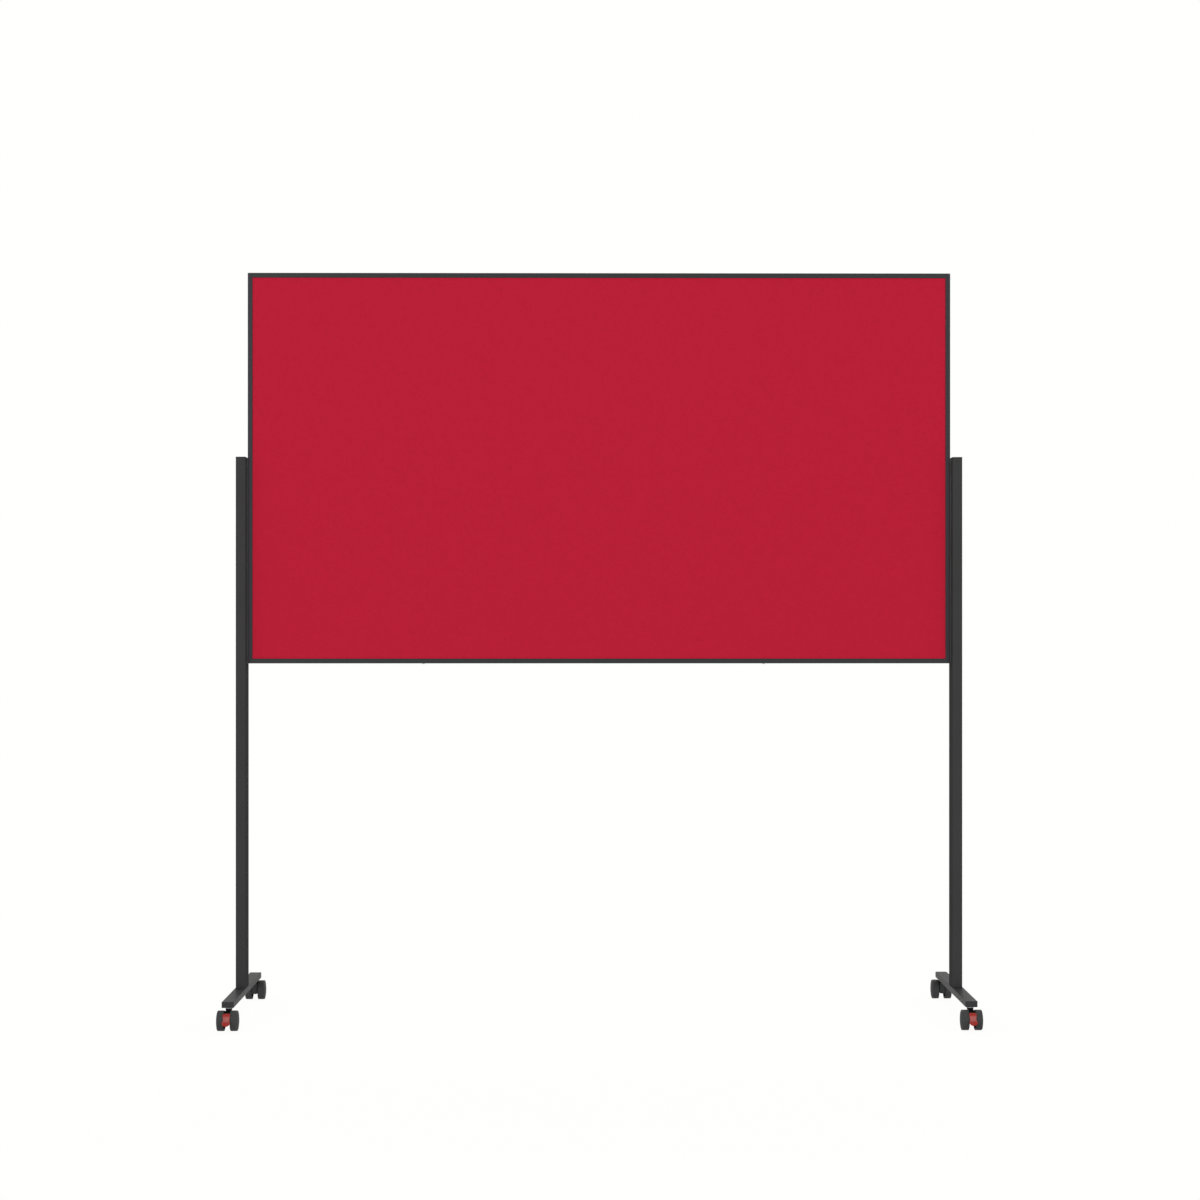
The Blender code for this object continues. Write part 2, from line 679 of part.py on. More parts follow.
def add_feet():
    """Add the two feet: flat tubes across the board's plane, with holes for the caster stems."""
    section = tube_section(FOOT_WIDTH, FOOT_HEIGHT, FOOT_WALL, FOOT_CORNER)
    length = FOOT_LENGTH - 2 * (PLUG_PLATE + SEAT_GAP)
    for side, sign in SIDES.items():
        foot = prism(section, length, ALONG_Y)
        foot.location = (sign * POST_X, 0, FOOT_BOTTOM + FOOT_HEIGHT / 2)
        finish_part(foot, "foot_" + side, "foot", "powder_coat")
        for end, out in ENDS.items():
            place = (sign * POST_X, out * CASTER_Y, FOOT_BOTTOM + FOOT_WALL / 2)
            cutter = cylinder(STEM_RADIUS + SEAT_GAP, 2 * FOOT_WALL, place, "Z", PIN_SEGMENTS)
            keep_cutter(cutter, "cut_stem_" + end + "_" + side)
            combine(foot, cutter, "DIFFERENCE")


def plug_mesh():
    """Make a foot plug: an end plate at zero, and a block along Y that holds the caster's stem."""
    outline = rounded_rectangle(FOOT_WIDTH, FOOT_HEIGHT, FOOT_CORNER)
    plate = prism([outline], PLUG_PLATE, ALONG_Y)
    plate.location = (0, PLUG_PLATE / 2, 0)
    inside = 2 * (FOOT_WALL + SEAT_GAP)
    length = PLUG_LENGTH - PLUG_PLATE / 2
    middle = (0, PLUG_LENGTH - length / 2, 0)
    block = box((FOOT_WIDTH - inside, length, FOOT_HEIGHT - inside), middle)
    bore = cylinder(STEM_RADIUS + SEAT_GAP, 2 * FOOT_HEIGHT, (0, CASTER_INSET, 0), "Z", PIN_SEGMENTS)
    combine(plate, block, "UNION")
    combine(plate, bore, "DIFFERENCE")
    return settle(plate, [block, bore])


def around_axle(radius, angle):
    """Give the place across and up, in a caster's own frame, at a radius and an angle from its axle."""
    outward = CASTER_TRAIL + radius * cos(radians(angle))
    return -outward, WHEEL_RADIUS + radius * sin(radians(angle))


def stem_mesh():
    """Make a caster stem: a pin that fits the foot, a collar under it, and a pin that fits the body."""
    profile = [
        (0, STEM_TOP),
        (STEM_RADIUS, STEM_TOP),
        (STEM_RADIUS, COLLAR_TOP),
        (COLLAR_RADIUS, COLLAR_TOP),
        (COLLAR_RADIUS, COLLAR_BASE),
        (STEM_RADIUS, COLLAR_BASE),
        (STEM_RADIUS, COLLAR_BASE - STEM_BELOW),
        (0, COLLAR_BASE - STEM_BELOW),
    ]
    return settle(turned(profile, PIN_SEGMENTS))


def body_outline():
    """Outline a caster body from the side: a block under the neck, a hood and an ear for the pedal."""
    pivot = around_axle(PIVOT_RADIUS, PEDAL_PIVOT_ANGLE)
    axle = around_axle(0, 0)
    hood = WHEEL_RADIUS - HOOD_INSET
    front = -(CASTER_TRAIL + BODY_FRONT_REACH)
    low = BODY_BOTTOM + BODY_CORNER
    points = [(NECK_RADIUS, NECK_BASE), (-NECK_RADIUS, NECK_BASE)]
    points += arc_points(axle, hood, HOOD_BACK_ANGLE, HOOD_FRONT_ANGLE, ARC_SEGMENTS)
    points += arc_points(pivot, PEDAL_EAR_RADIUS, PEDAL_EAR_BACK_ANGLE, PEDAL_EAR_FRONT_ANGLE, ARC_SEGMENTS)
    points += arc_points((front + BODY_CORNER, low), BODY_CORNER, 180, 270, CORNER_SEGMENTS)
    points += arc_points((NECK_RADIUS - BODY_CORNER, low), BODY_CORNER, 270, 360, CORNER_SEGMENTS)
    return points


def body_mesh():
    """Make a caster body: the web between the wheels, the neck, and bores for stem, axle and pedal pin."""
    body = prism([body_outline()], BODY_WIDTH, ALONG_X)
    neck_length = NECK_TOP - NECK_BASE + NECK_ROOT
    neck_place = (0, 0, NECK_TOP - neck_length / 2)
    neck = cylinder(NECK_RADIUS, neck_length, neck_place, "Z", NECK_SEGMENTS)
    stem_depth = STEM_BELOW + 2 * SEAT_GAP
    stem_length = stem_depth + CUT_OVERRUN
    stem_place = (0, 0, COLLAR_BASE - stem_depth + stem_length / 2)
    stem = cylinder(STEM_RADIUS + SEAT_GAP, stem_length, stem_place, "Z", PIN_SEGMENTS)
    across = BODY_WIDTH + 2 * CUT_OVERRUN
    axle_y, axle_z = around_axle(0, 0)
    axle = cylinder(AXLE_RADIUS + RUNNING_GAP, across, (0, axle_y, axle_z), "X", PIN_SEGMENTS)
    pin_y, pin_z = around_axle(PIVOT_RADIUS, PEDAL_PIVOT_ANGLE)
    pin = cylinder(PEDAL_PIN_RADIUS + RUNNING_GAP, across, (0, pin_y, pin_z), "X", PIN_SEGMENTS)
    back = pin_y + PEDAL_EYE_RADIUS + SEAT_GAP
    reach = PEDAL_EYE_RADIUS + SEAT_GAP + PEDAL_EAR_RADIUS + BODY_FRONT_REACH
    low = pin_z - PEDAL_EYE_RADIUS - PEDAL_PLATE
    high = NECK_BASE + CUT_OVERRUN
    slot_size = (PEDAL_TONGUE_WIDTH + 2 * SEAT_GAP, reach, high - low)
    slot = box(slot_size, (0, back - reach / 2, (low + high) / 2))
    combine(body, neck, "UNION")
    for cutter in (stem, axle, pin, slot):
        combine(body, cutter, "DIFFERENCE")
    return settle(body, [neck, stem, axle, pin, slot])


def axle_mesh():
    """Make a caster axle along X."""
    return settle(cylinder(AXLE_RADIUS, 2 * AXLE_HALF, (0, 0, 0), "X", PIN_SEGMENTS))


def wheel_profile():
    """Profile a wheel from the middle of its domed side, over the tread, to the end of its blind bore."""
    tread = WHEEL_RADIUS / cos(pi / WHEEL_SEGMENTS)
    shoulder = tread - WHEEL_SHOULDER_DROP
    rim = WHEEL_OUTER - WHEEL_DOME
    inner = WHEEL_GAP / 2
    dome_shares = ((0.55, 0.30),)
    points = [(0, WHEEL_OUTER)]
    points += [(shoulder * out, WHEEL_OUTER - WHEEL_DOME * down) for out, down in dome_shares]
    middle = (shoulder, rim - WHEEL_SHOULDER_WIDTH)
    for step in range(SHOULDER_SEGMENTS + 1):
        angle = pi / 2 * (1 - step / SHOULDER_SEGMENTS)
        across = WHEEL_SHOULDER_DROP * cos(angle)
        points.append((middle[0] + across, middle[1] + WHEEL_SHOULDER_WIDTH * sin(angle)))
    points += [
        (tread, inner + WHEEL_INNER_CHAMFER),
        (tread - WHEEL_INNER_CHAMFER, inner),
        (HUB_RADIUS, inner),
        (HUB_RADIUS, inner - HUB_LENGTH),
        (AXLE_RADIUS + RUNNING_GAP, inner - HUB_LENGTH),
        (AXLE_RADIUS + RUNNING_GAP, AXLE_HALF + SEAT_GAP),
        (0, AXLE_HALF + SEAT_GAP),
    ]
    return points


def wheel_mesh(sign):
    """Make a wheel along X, its domed side towards -X or +X, with a flat facet at the bottom."""
    mesh = settle(turned(wheel_profile(), WHEEL_SEGMENTS))
    mesh.transform(Matrix.Rotation(pi / WHEEL_SEGMENTS, 4, "Z"))
    mesh.transform(Matrix.Rotation(sign * pi / 2, 4, "Y"))
    return mesh


def pedal_row(along):
    """Read the plate's radius and half width at a share of its length, between the rows."""
    rows = PEDAL_ROW_SHARES
    before = max(index for index, row in enumerate(rows[:-1]) if row[0] <= along)
    low, high = rows[before], rows[before + 1]
    share = (along - low[0]) / (high[0] - low[0])
    flare, top, lip = (low[part] + share * (high[part] - low[part]) for part in (1, 2, 3))
    radius = WHEEL_RADIUS + PEDAL_TREAD_GAP + PEDAL_PLATE + flare * PEDAL_FLARE
    waist = WHEEL_GAP / 2 - PEDAL_SIDE_GAP
    half = waist + top * (PEDAL_TOP_WIDTH / 2 - waist) + lip * (PEDAL_LIP_WIDTH / 2 - waist)
    return radius, half


def pedal_angle(along, across):
    """Give the plate's angle about the axle: its top edge and its lip arch across the width."""
    top = PEDAL_TOP_ANGLE - PEDAL_TOP_ARCH * across ** 4
    lip = PEDAL_LIP_ANGLE + PEDAL_LIP_ARCH * across ** 2
    return top + along * (lip - top)


def pedal_plate(pivot):
    """Make the pedal's plate: a bent sheet that follows the treads, dips at its waist and flares out."""
    work = bmesh.new()
    columns = PEDAL_COLUMNS
    rows = len(PEDAL_ROW_SHARES)
    bmesh.ops.create_grid(work, x_segments=columns - 1, y_segments=rows - 1, size=1)
    work.verts.ensure_lookup_table()
    for vertex in work.verts:
        across = vertex.co.x
        row = round((1 - vertex.co.y) / 2 * (rows - 1))
        along = PEDAL_ROW_SHARES[row][0]
        radius, half = pedal_row(along)
        y, z = around_axle(radius, pedal_angle(along, across))
        vertex.co = (across * half, y - pivot[0], z - pivot[1])
    mesh = bpy.data.meshes.new("plate")
    work.to_mesh(mesh)
    work.free()
    plate = mesh_object("plate", mesh)
    shell = plate.modifiers.new("thickness", "SOLIDIFY")
    shell.thickness = PEDAL_PLATE
    shell.offset = -1
    shell.use_even_offset = True
    return plate


def pedal_tongue(pivot):
    """Make the tongue from the pivot to the middle of the plate's thickness."""
    points = []
    for along in PEDAL_TONGUE_SHARES:
        radius, half = pedal_row(along)
        y, z = around_axle(radius - PEDAL_PLATE / 2, pedal_angle(along, 0))
        points.append((y - pivot[0], z - pivot[1]))
    low = atan2(points[-1][1], points[-1][0])
    high = atan2(points[0][1], points[0][0])
    start = low * 180 / pi % 360 + 90
    end = high * 180 / pi % 360 + 270
    points += arc_points((0, 0), PEDAL_EYE_RADIUS, start, end, 2 * ARC_SEGMENTS)
    return prism([points], PEDAL_TONGUE_WIDTH, ALONG_X)


def pedal_mesh():
    """Make a brake pedal about its pivot: plate, tongue and pin in one."""
    pivot = around_axle(PIVOT_RADIUS, PEDAL_PIVOT_ANGLE)
    plate = pedal_plate(pivot)
    tongue = pedal_tongue(pivot)
    length = BODY_WIDTH - 2 * PEDAL_PIN_INSET
    pin = cylinder(PEDAL_PIN_RADIUS, length, (0, 0, 0), "X", PIN_SEGMENTS)
    combine(plate, tongue, "UNION")
    combine(plate, pin, "UNION")
    return settle(plate, [tongue, pin])


def add_child(mesh, name, kind, finish, parent):
    """Add an object of a shared mesh at the place of its parent."""
    child = mesh_object(name, mesh)
    child.parent = parent
    finish_part(child, name, kind, finish)


def add_casters():
    """Add a caster under each end of each foot, trailing outwards, with the plug that holds it."""
    plug = plug_mesh()
    stem = stem_mesh()
    body = body_mesh()
    axle = axle_mesh()
    pedal = pedal_mesh()
    wheels = {-1: wheel_mesh(-1), 1: wheel_mesh(1)}
    axle_y, axle_z = around_axle(0, 0)
    pivot_y, pivot_z = around_axle(PIVOT_RADIUS, PEDAL_PIVOT_ANGLE)
    for side, sign in SIDES.items():
        for end, out in ENDS.items():
            place = end + "_" + side
            x = sign * POST_X
            turn = 0 if out < 0 else pi
            end_place = (x, out * FOOT_LENGTH / 2, FOOT_BOTTOM + FOOT_HEIGHT / 2)
            foot_end = empty_at("foot_end_" + place, end_place, turn=turn)
            add_child(plug, "foot_plug_" + place, "foot_plug", "cap_plastic", foot_end)
            swivel = empty_at("swivel_" + place, (x, out * CASTER_Y, 0), turn=turn)
            add_child(stem, "caster_stem_" + place, "caster_stem", "zinc", swivel)
            add_child(body, "caster_body_" + place, "caster_body", "nylon", swivel)
            axle_mark = empty_at("axle_mark_" + place, (0, axle_y, axle_z), parent=swivel)
            add_child(axle, "caster_axle_" + place, "caster_axle", "zinc", axle_mark)
            for hand, wheel in wheels.items():
                label = "outer" if -out * hand == sign else "inner"
                add_child(wheel, "wheel_" + place + "_" + label, "wheel", "tread", axle_mark)
            pivot = empty_at("pedal_mark_" + place, (0, pivot_y, pivot_z), parent=swivel)
            add_child(pedal, "brake_pedal_" + place, "brake_pedal", "pedal_red", pivot)


def main():
    """Build the pinboard."""
    clear_scene()
    new_collection("mobile_pinboard")
    new_collection("cutters")
    rails = add_rails()
    core = add_panel()
    add_corner_keys()
    slot_bars = add_slot_bars()
    spacers = add_spacers()
    posts = add_posts()
    add_post_caps()
    add_board_screws(posts, spacers, rails, slot_bars)
    add_rail_screws(rails["bottom"], core)
    add_spigots(posts)
    add_feet()
    add_casters()


main()
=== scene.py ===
"""Mobile pinboard, dressed: felt board in a slim frame, two posts, two feet and four braked casters.

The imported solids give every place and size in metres, +Z up, the board's front towards -Y. Each class
below is one sub-assembly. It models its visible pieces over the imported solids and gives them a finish.
"""

import logging
from dataclasses import dataclass, replace
from enum import Enum
from math import cos, pi, radians, sin
from typing import Iterable, Iterator, Sequence

import bmesh
import bpy
from mathutils import Matrix, Vector, noise


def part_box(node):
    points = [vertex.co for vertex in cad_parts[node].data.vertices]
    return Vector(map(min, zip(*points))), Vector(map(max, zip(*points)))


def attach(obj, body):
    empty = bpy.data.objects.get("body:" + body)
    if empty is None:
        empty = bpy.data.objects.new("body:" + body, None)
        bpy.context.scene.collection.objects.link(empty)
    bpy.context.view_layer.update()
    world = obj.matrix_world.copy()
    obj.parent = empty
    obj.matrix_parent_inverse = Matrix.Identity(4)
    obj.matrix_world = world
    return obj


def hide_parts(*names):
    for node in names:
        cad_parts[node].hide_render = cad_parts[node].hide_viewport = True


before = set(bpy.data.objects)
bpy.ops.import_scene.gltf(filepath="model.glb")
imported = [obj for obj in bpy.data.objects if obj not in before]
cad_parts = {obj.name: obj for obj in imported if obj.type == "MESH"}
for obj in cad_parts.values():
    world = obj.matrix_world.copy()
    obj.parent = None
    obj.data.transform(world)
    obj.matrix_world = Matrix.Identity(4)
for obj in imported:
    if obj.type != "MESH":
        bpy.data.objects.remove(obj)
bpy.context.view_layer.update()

LOG = logging.getLogger("pinboard")
# Pixels across the picture that the camera is set for.
PICTURE = 1200
# Distance under which points merge, and how far a cutting solid stands past what it cuts.
WELD = 0.000002
OVERRUN = 0.002
# Least angle in degrees between the faces at a rim, and least cosine between an edge and its axis.
RIM_ANGLE = 60.0
PARALLEL = 0.9999
# Faces across a tube's corner, across a crown and across a fine rim.
CORNER_STEPS = 6
CROWN_STEPS = 4
RIM_STEPS = 2
# The inputs and the output that a Mix node uses for colours.
MIX_INPUTS = (0, 6, 7)
MIX_RESULT = 2
Pair = tuple[float, float]
Triple = tuple[float, float, float]
Colour = tuple[int, int, int]
Node = bpy.types.Node
Socket = bpy.types.NodeSocket
Edge = bmesh.types.BMEdge


class Axis(Enum):
    """The three directions of the frame."""

    X = 0
    Y = 1
    Z = 2

    @property
    def unit(self) -> Vector:
        """Vector of length 1 along the axis."""
        return Vector([1.0 if index == self.value else 0.0 for index in range(3)])


class Way(Enum):
    """One of two opposite ways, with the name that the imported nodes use."""

    @property
    def word(self) -> str:
        """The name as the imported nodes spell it."""
        return self.name.lower()


class Side(Way):
    """The pinboard's left and right, as seen from its front."""

    LEFT = -1
    RIGHT = 1


class End(Way):
    """The front and rear end of a foot."""

    FRONT = -1
    REAR = 1


class Face(Way):
    """The front and back of the board."""

    FRONT = -1
    BACK = 1


class Role(Way):
    """The wheel on the pinboard's outer side of a caster, and the other one."""

    OUTER = 1
    INNER = -1


class Zone(Enum):
    """The stretches of a caster's body that differ in finish, by their material's number: the web in its
    own colour, the hood in painted shade and the neck in painted light.
    """

    WEB = 0
    HOOD = 1
    NECK = 2


class Join(Enum):
    """The ways to combine two solids."""

    ADD = "UNION"
    CUT = "DIFFERENCE"


def linear(colour: Sequence[float], gain: float = 1.0) -> tuple[float, float, float, float]:
    """Turn an sRGB colour into a shader's linear one.

    Args:
        colour: Red, green and blue from 0 to 255.
        gain: Factor on the linear value.

    Returns:
        Red, green, blue and an alpha of 1.
    """
    shares = [value / 255 for value in colour]
    values = [share / 12.92 if share <= 0.04045 else ((share + 0.055) / 1.055) ** 2.4 for share in shares]
    return (values[0] * gain, values[1] * gain, values[2] * gain, 1.0)


def bend(middle: Pair, reach: Pair, turns: Iterable[float]) -> list[Pair]:
    """List points on a round or oval stretch of an outline.

    Args:
        middle: Its centre.
        reach: Its radii along the first and the second direction.
        turns: The points' angles in degrees, counted from the first direction.

    Returns:
        The points.
    """
    return [
        (middle[0] + reach[0] * cos(radians(turn)), middle[1] + reach[1] * sin(radians(turn)))
        for turn in turns
    ]


def arc(middle: Pair, radius: float, start: float, stop: float, steps: int) -> list[Pair]:
    """List evenly spaced points on an arc.

    Args:
        middle: Its centre.
        radius: Its radius.
        start: Its first angle in degrees, counted from the first direction.
        stop: Its last angle.
        steps: Its number of chords.

    Returns:
        The points.
    """
    turns = [start + (stop - start) * step / steps for step in range(steps + 1)]
    return bend(middle, (radius, radius), turns)


class Graph:
    """A node tree with short ways to add and link nodes."""

    def __init__(self, tree: bpy.types.NodeTree) -> None:
        """Start with the nodes that the tree already has."""
        self.tree = tree

    def add(self, kind: str, **settings: object) -> Node:
        """Add a node.

        Args:
            kind: The node's type name without its "ShaderNode" start.
            settings: Properties to set on the node.

        Returns:
            The new node.
        """
        node = self.tree.nodes.new("ShaderNode" + kind)
        for name, value in settings.items():
            setattr(node, name, value)
        return node

    def plug(self, socket: Socket, value: object) -> None:
        """Link an output socket to an input, or set the input.

        Args:
            socket: The input.
            value: The output socket, or the value to set.
        """
        if isinstance(value, Socket):
            self.tree.links.new(value, socket)
        else:
            socket.default_value = value

    def feed(self, node: Node, **sockets: object) -> Node:
        """Set or link a node's inputs.

        Args:
            node: The node to feed.
            sockets: Input names, with "_" for a space, and a value or an output socket for each.

        Returns:
            The same node.
        """
        for name, value in sockets.items():
            self.plug(node.inputs[name.replace("_", " ")], value)
        return node

    def math(self, operation: str, first: object, second: object = 0.0) -> Socket:
        """Combine two values.

        Args:
            operation: What the Math node does with them.
            first: A number or an output socket.
            second: The same.

        Returns:
            The result's socket.
        """
        node = self.add("Math", operation=operation)
        for socket, value in zip(node.inputs, (first, second)):
            self.plug(socket, value)
        return node.outputs[0]

    def between(self, share: Socket, low: float, high: float) -> Socket:
        """Spread a mask from 0 to 1 over a range and return the result's socket."""
        node = self.feed(self.add("MapRange"), Value=share, To_Min=low, To_Max=high)
        return node.outputs["Result"]

    def noise(self, place: Socket, cells: object, **settings: float) -> Socket:
        """Lay out noise.

        Args:
            place: The place that it is read at.
            cells: Its cells to the metre, a number or an output socket.
            settings: Its other inputs.

        Returns:
            The socket of its value.
        """
        node = self.feed(self.add("TexNoise"), Vector=place, Scale=cells, **settings)
        return node.outputs[0]

    def blend(self, share: Socket, first: object, second: object) -> Socket:
        """Mix two colours.

        Args:
            share: The mask, 0 for the first colour and 1 for the second.
            first: A colour or an output socket.
            second: The same.

        Returns:
            The result's socket.
        """
        node = self.add("Mix", data_type="RGBA")
        for number, value in zip(MIX_INPUTS, (share, first, second)):
            self.plug(node.inputs[number], value)
        return node.outputs[MIX_RESULT]

    def blend_shaders(self, share: Socket, first: Node, second: Node) -> Socket:
        """Mix two shaders.

        Args:
            share: The mask, 0 for the first shader and 1 for the second.
            first: The first shader's node.
            second: The second shader's node.

        Returns:
            The result's socket.
        """
        node = self.add("MixShader")
        for socket, value in zip(node.inputs, (share, first.outputs[0], second.outputs[0])):
            self.plug(socket, value)
        return node.outputs[0]


class Effect:
    """A node group that several finishes share."""

    title = "effect"
    takes: tuple[tuple[str, str, float], ...] = ()
    gives: tuple[str, ...] = ()

    def group(self) -> bpy.types.NodeTree:
        """Find the group, or build it the first time.

        Returns:
            The shader node group.
        """
        found = bpy.data.node_groups.get(self.title)
        if found:
            return found
        tree = bpy.data.node_groups.new(self.title, "ShaderNodeTree")
        for name, kind, value in self.takes:
            socket = tree.interface.new_socket(name, in_out="INPUT", socket_type="NodeSocket" + kind)
            if kind == "Float":
                socket.default_value = value
        for name in self.gives:
            tree.interface.new_socket(name, in_out="OUTPUT", socket_type="NodeSocketFloat")
        graph = Graph(tree)
        start = tree.nodes.new("NodeGroupInput")
        finish = tree.nodes.new("NodeGroupOutput")
        for name, socket in self.draw(graph, start).items():
            tree.links.new(socket, finish.inputs[name])
        return tree

    def draw(self, graph: Graph, start: Node) -> dict[str, Socket]:
        """Lay out the group's nodes.

        Args:
            graph: The group's graph.
            start: The node with the group's inputs.

        Returns:
            The socket of each output, by name.
        """
        raise NotImplementedError

    def place(self, graph: Graph, **sockets: object) -> Node:
        """Put the group in a material, with its own values, and return the group's node."""
        node = graph.add("Group", node_tree=self.group())
        return graph.feed(node, **sockets)


class SurfaceGrain(Effect):
    """Fine grain, with a slow drift over it, for coats, plating and mouldings."""

    title = "surface_grain"
    takes = (("Place", "Vector", 0.0), ("Cells", "Float", 800.0), ("Drift", "Float", 6.0))
    gives = ("Fine", "Broad")
    fine_detail = 2.0
    broad_detail = 3.0

    def draw(self, graph: Graph, start: Node) -> dict[str, Socket]:
        """Lay out one fine and one slow noise.

        Args:
            graph: The group's graph.
            start: The node with the group's inputs.

        Returns:
            The socket of each output, by name.
        """
        place = start.outputs["Place"]
        fine = graph.noise(place, start.outputs["Cells"], Detail=self.fine_detail)
        slow = graph.noise(place, start.outputs["Drift"], Detail=self.broad_detail)
        return {"Fine": fine, "Broad": slow}


class SettledDust(Effect):
    """A thin uneven film on what faces up."""

    title = "settled_dust"
    takes = (("Place", "Vector", 0.0), ("Amount", "Float", 0.2))
    gives = ("Film",)
    patch_cells = 55.0
    patch_detail = 5.0

    def draw(self, graph: Graph, start: Node) -> dict[str, Socket]:
        """Lay out a mask of the upward normal, broken up by noise.

        Args:
            graph: The group's graph.
            start: The node with the group's inputs.

        Returns:
            The socket of each output, by name.
        """
        facing = graph.add("NewGeometry")
        parts = graph.feed(graph.add("SeparateXYZ"), Vector=facing.outputs["Normal"])
        up = graph.math("MAXIMUM", parts.outputs["Z"], 0.0)
        patches = graph.noise(start.outputs["Place"], self.patch_cells, Detail=self.patch_detail)
        uneven = graph.math("MULTIPLY", up, patches)
        return {"Film": graph.math("MULTIPLY", uneven, start.outputs["Amount"])}


class MattedFibre(Effect):
    """Short fibres lying in all directions, as in needle felt."""

    title = "matted_fibre"
    takes = (("Place", "Vector", 0.0), ("Strands", "Float", 260.0))
    gives = ("Fibre", "Tuft")
    # Each layer's angle in degrees, and the factor that draws its fibres out.
    layers = ((15.0, 0.16), (75.0, 0.2), (-40.0, 0.18))
    strand_detail = 3.0
    warp = 1.2
    # The noise's value along a fibre's middle, and how steeply the fibre falls away from it.
    ridge = 0.5
    steepness = 7.0
    tuft_cells = 120.0
    tuft_detail = 6.0
    tuft_roughness = 0.65

    def draw(self, graph: Graph, start: Node) -> dict[str, Socket]:
        """Lay out three crossed layers of drawn-out ridges, and soft tufts under them.

        Args:
            graph: The group's graph.
            start: The node with the group's inputs.

        Returns:
            The socket of each output, by name.
        """
        place, strands = start.outputs["Place"], start.outputs["Strands"]
        ridges = []
        for turn, along in self.layers:
            spin = graph.add("VectorRotate", rotation_type="Y_AXIS")
            graph.feed(spin, Vector=place, Angle=radians(turn))
            drawn = graph.feed(graph.add("Mapping"), Vector=spin.outputs[0], Scale=(along, 1.0, 1.0))
            wavy = graph.noise(drawn.outputs[0], strands, Detail=self.strand_detail, Distortion=self.warp)
            away = graph.math("ABSOLUTE", graph.math("SUBTRACT", wavy, self.ridge))
            ridges.append(graph.math("SUBTRACT", 1.0, graph.math("MULTIPLY", away, self.steepness)))
        top = graph.math("MAXIMUM", graph.math("MAXIMUM", ridges[0], ridges[1]), ridges[2])
        tuft = graph.noise(place, self.tuft_cells, Detail=self.tuft_detail, Roughness=self.tuft_roughness)
        return {"Fibre": graph.math("MAXIMUM", top, 0.0), "Tuft": tuft}


@dataclass(frozen=True)
class Finish:
    """A coat, plating or moulded surface with grain, drift and dust."""

    title: str
    slot: str
    colour: Colour
    roughness: float
    metallic: float = 0.0
    specular: float = 0.4
    cells: float = 900.0
    drift_cells: float = 9.0
    relief: float = 0.12
    depth: float = 0.00008
    mottle: float = 0.05
    fleck: float = 0.6
    uneven: float = 0.05
    dust: float = 0.0
    dust_colour: Colour = (150, 148, 144)
    stretch: Triple = (1.0, 1.0, 1.0)

    def material(self) -> bpy.types.Material:
        """Find the finish's material, or build it the first time.

        Returns:
            The material.
        """
        found = bpy.data.materials.get(self.title)
        if found:
            return found
        made = bpy.data.materials.new(self.title)
        made.use_nodes = True
        made.diffuse_color = linear(self.colour)
        graph = Graph(made.node_tree)
        shader = made.node_tree.nodes["Principled BSDF"]
        graph.feed(shader, Metallic=self.metallic, Specular_IOR_Level=self.specular)
        self.paint(graph, shader)
        return made

    def place(self, graph: Graph) -> Socket:
        """Return the socket with the place on the piece, drawn out along the grain."""
        spot = graph.add("TexCoord").outputs["Object"]
        return graph.feed(graph.add("Mapping"), Vector=spot, Scale=self.stretch).outputs[0]

    def shades(self) -> tuple[Sequence[float], Sequence[float]]:
        """Return the darkest and the lightest colour of the mottling."""
        return linear(self.colour, 1 - self.mottle), linear(self.colour, 1 + self.mottle)

    def paint(self, graph: Graph, shader: Node) -> None:
        """Lay out the grain and feed the shader from it.

        Args:
            graph: The material's graph.
            shader: Its Principled BSDF.
        """
        place = self.place(graph)
        grain = SurfaceGrain().place(graph, Place=place, Cells=self.cells, Drift=self.drift_cells)
        fine, broad = grain.outputs["Fine"], grain.outputs["Broad"]
        slow = graph.math("MULTIPLY", broad, 1 - self.fleck)
        quick = graph.math("MULTIPLY", fine, self.fleck)
        colour = self.tint(graph, place, graph.math("ADD", slow, quick))
        self.lay(graph, shader, colour, fine, fine)

    def tint(self, graph: Graph, place: Socket, drift: Socket) -> Socket:
        """Lay out the colour: mottled by grain and drift, with dust where the finish has some.

        Args:
            graph: The material's graph.
            place: The place on the piece.
            drift: The mixed noise of grain and drift.

        Returns:
            The colour's socket.
        """
        colour = graph.blend(drift, *self.shades())
        if self.dust:
            film = SettledDust().place(graph, Place=place, Amount=self.dust)
            colour = graph.blend(film.outputs["Film"], colour, linear(self.dust_colour))
        return colour

    def lay(self, graph: Graph, shader: Node, colour: Socket, gloss: Socket, height: Socket) -> None:
        """Feed the shader's colour, roughness and normal.

        Args:
            graph: The material's graph.
            shader: Its Principled BSDF.
            colour: The colour's socket.
            gloss: The noise that the roughness varies with.
            height: The noise that stands out in relief.
        """
        rough = graph.between(gloss, self.roughness - self.uneven, self.roughness + self.uneven)
        bump = graph.feed(graph.add("Bump"), Height=height, Strength=self.relief, Distance=self.depth)
        graph.feed(shader, Base_Color=colour, Roughness=rough, Normal=bump.outputs[0])


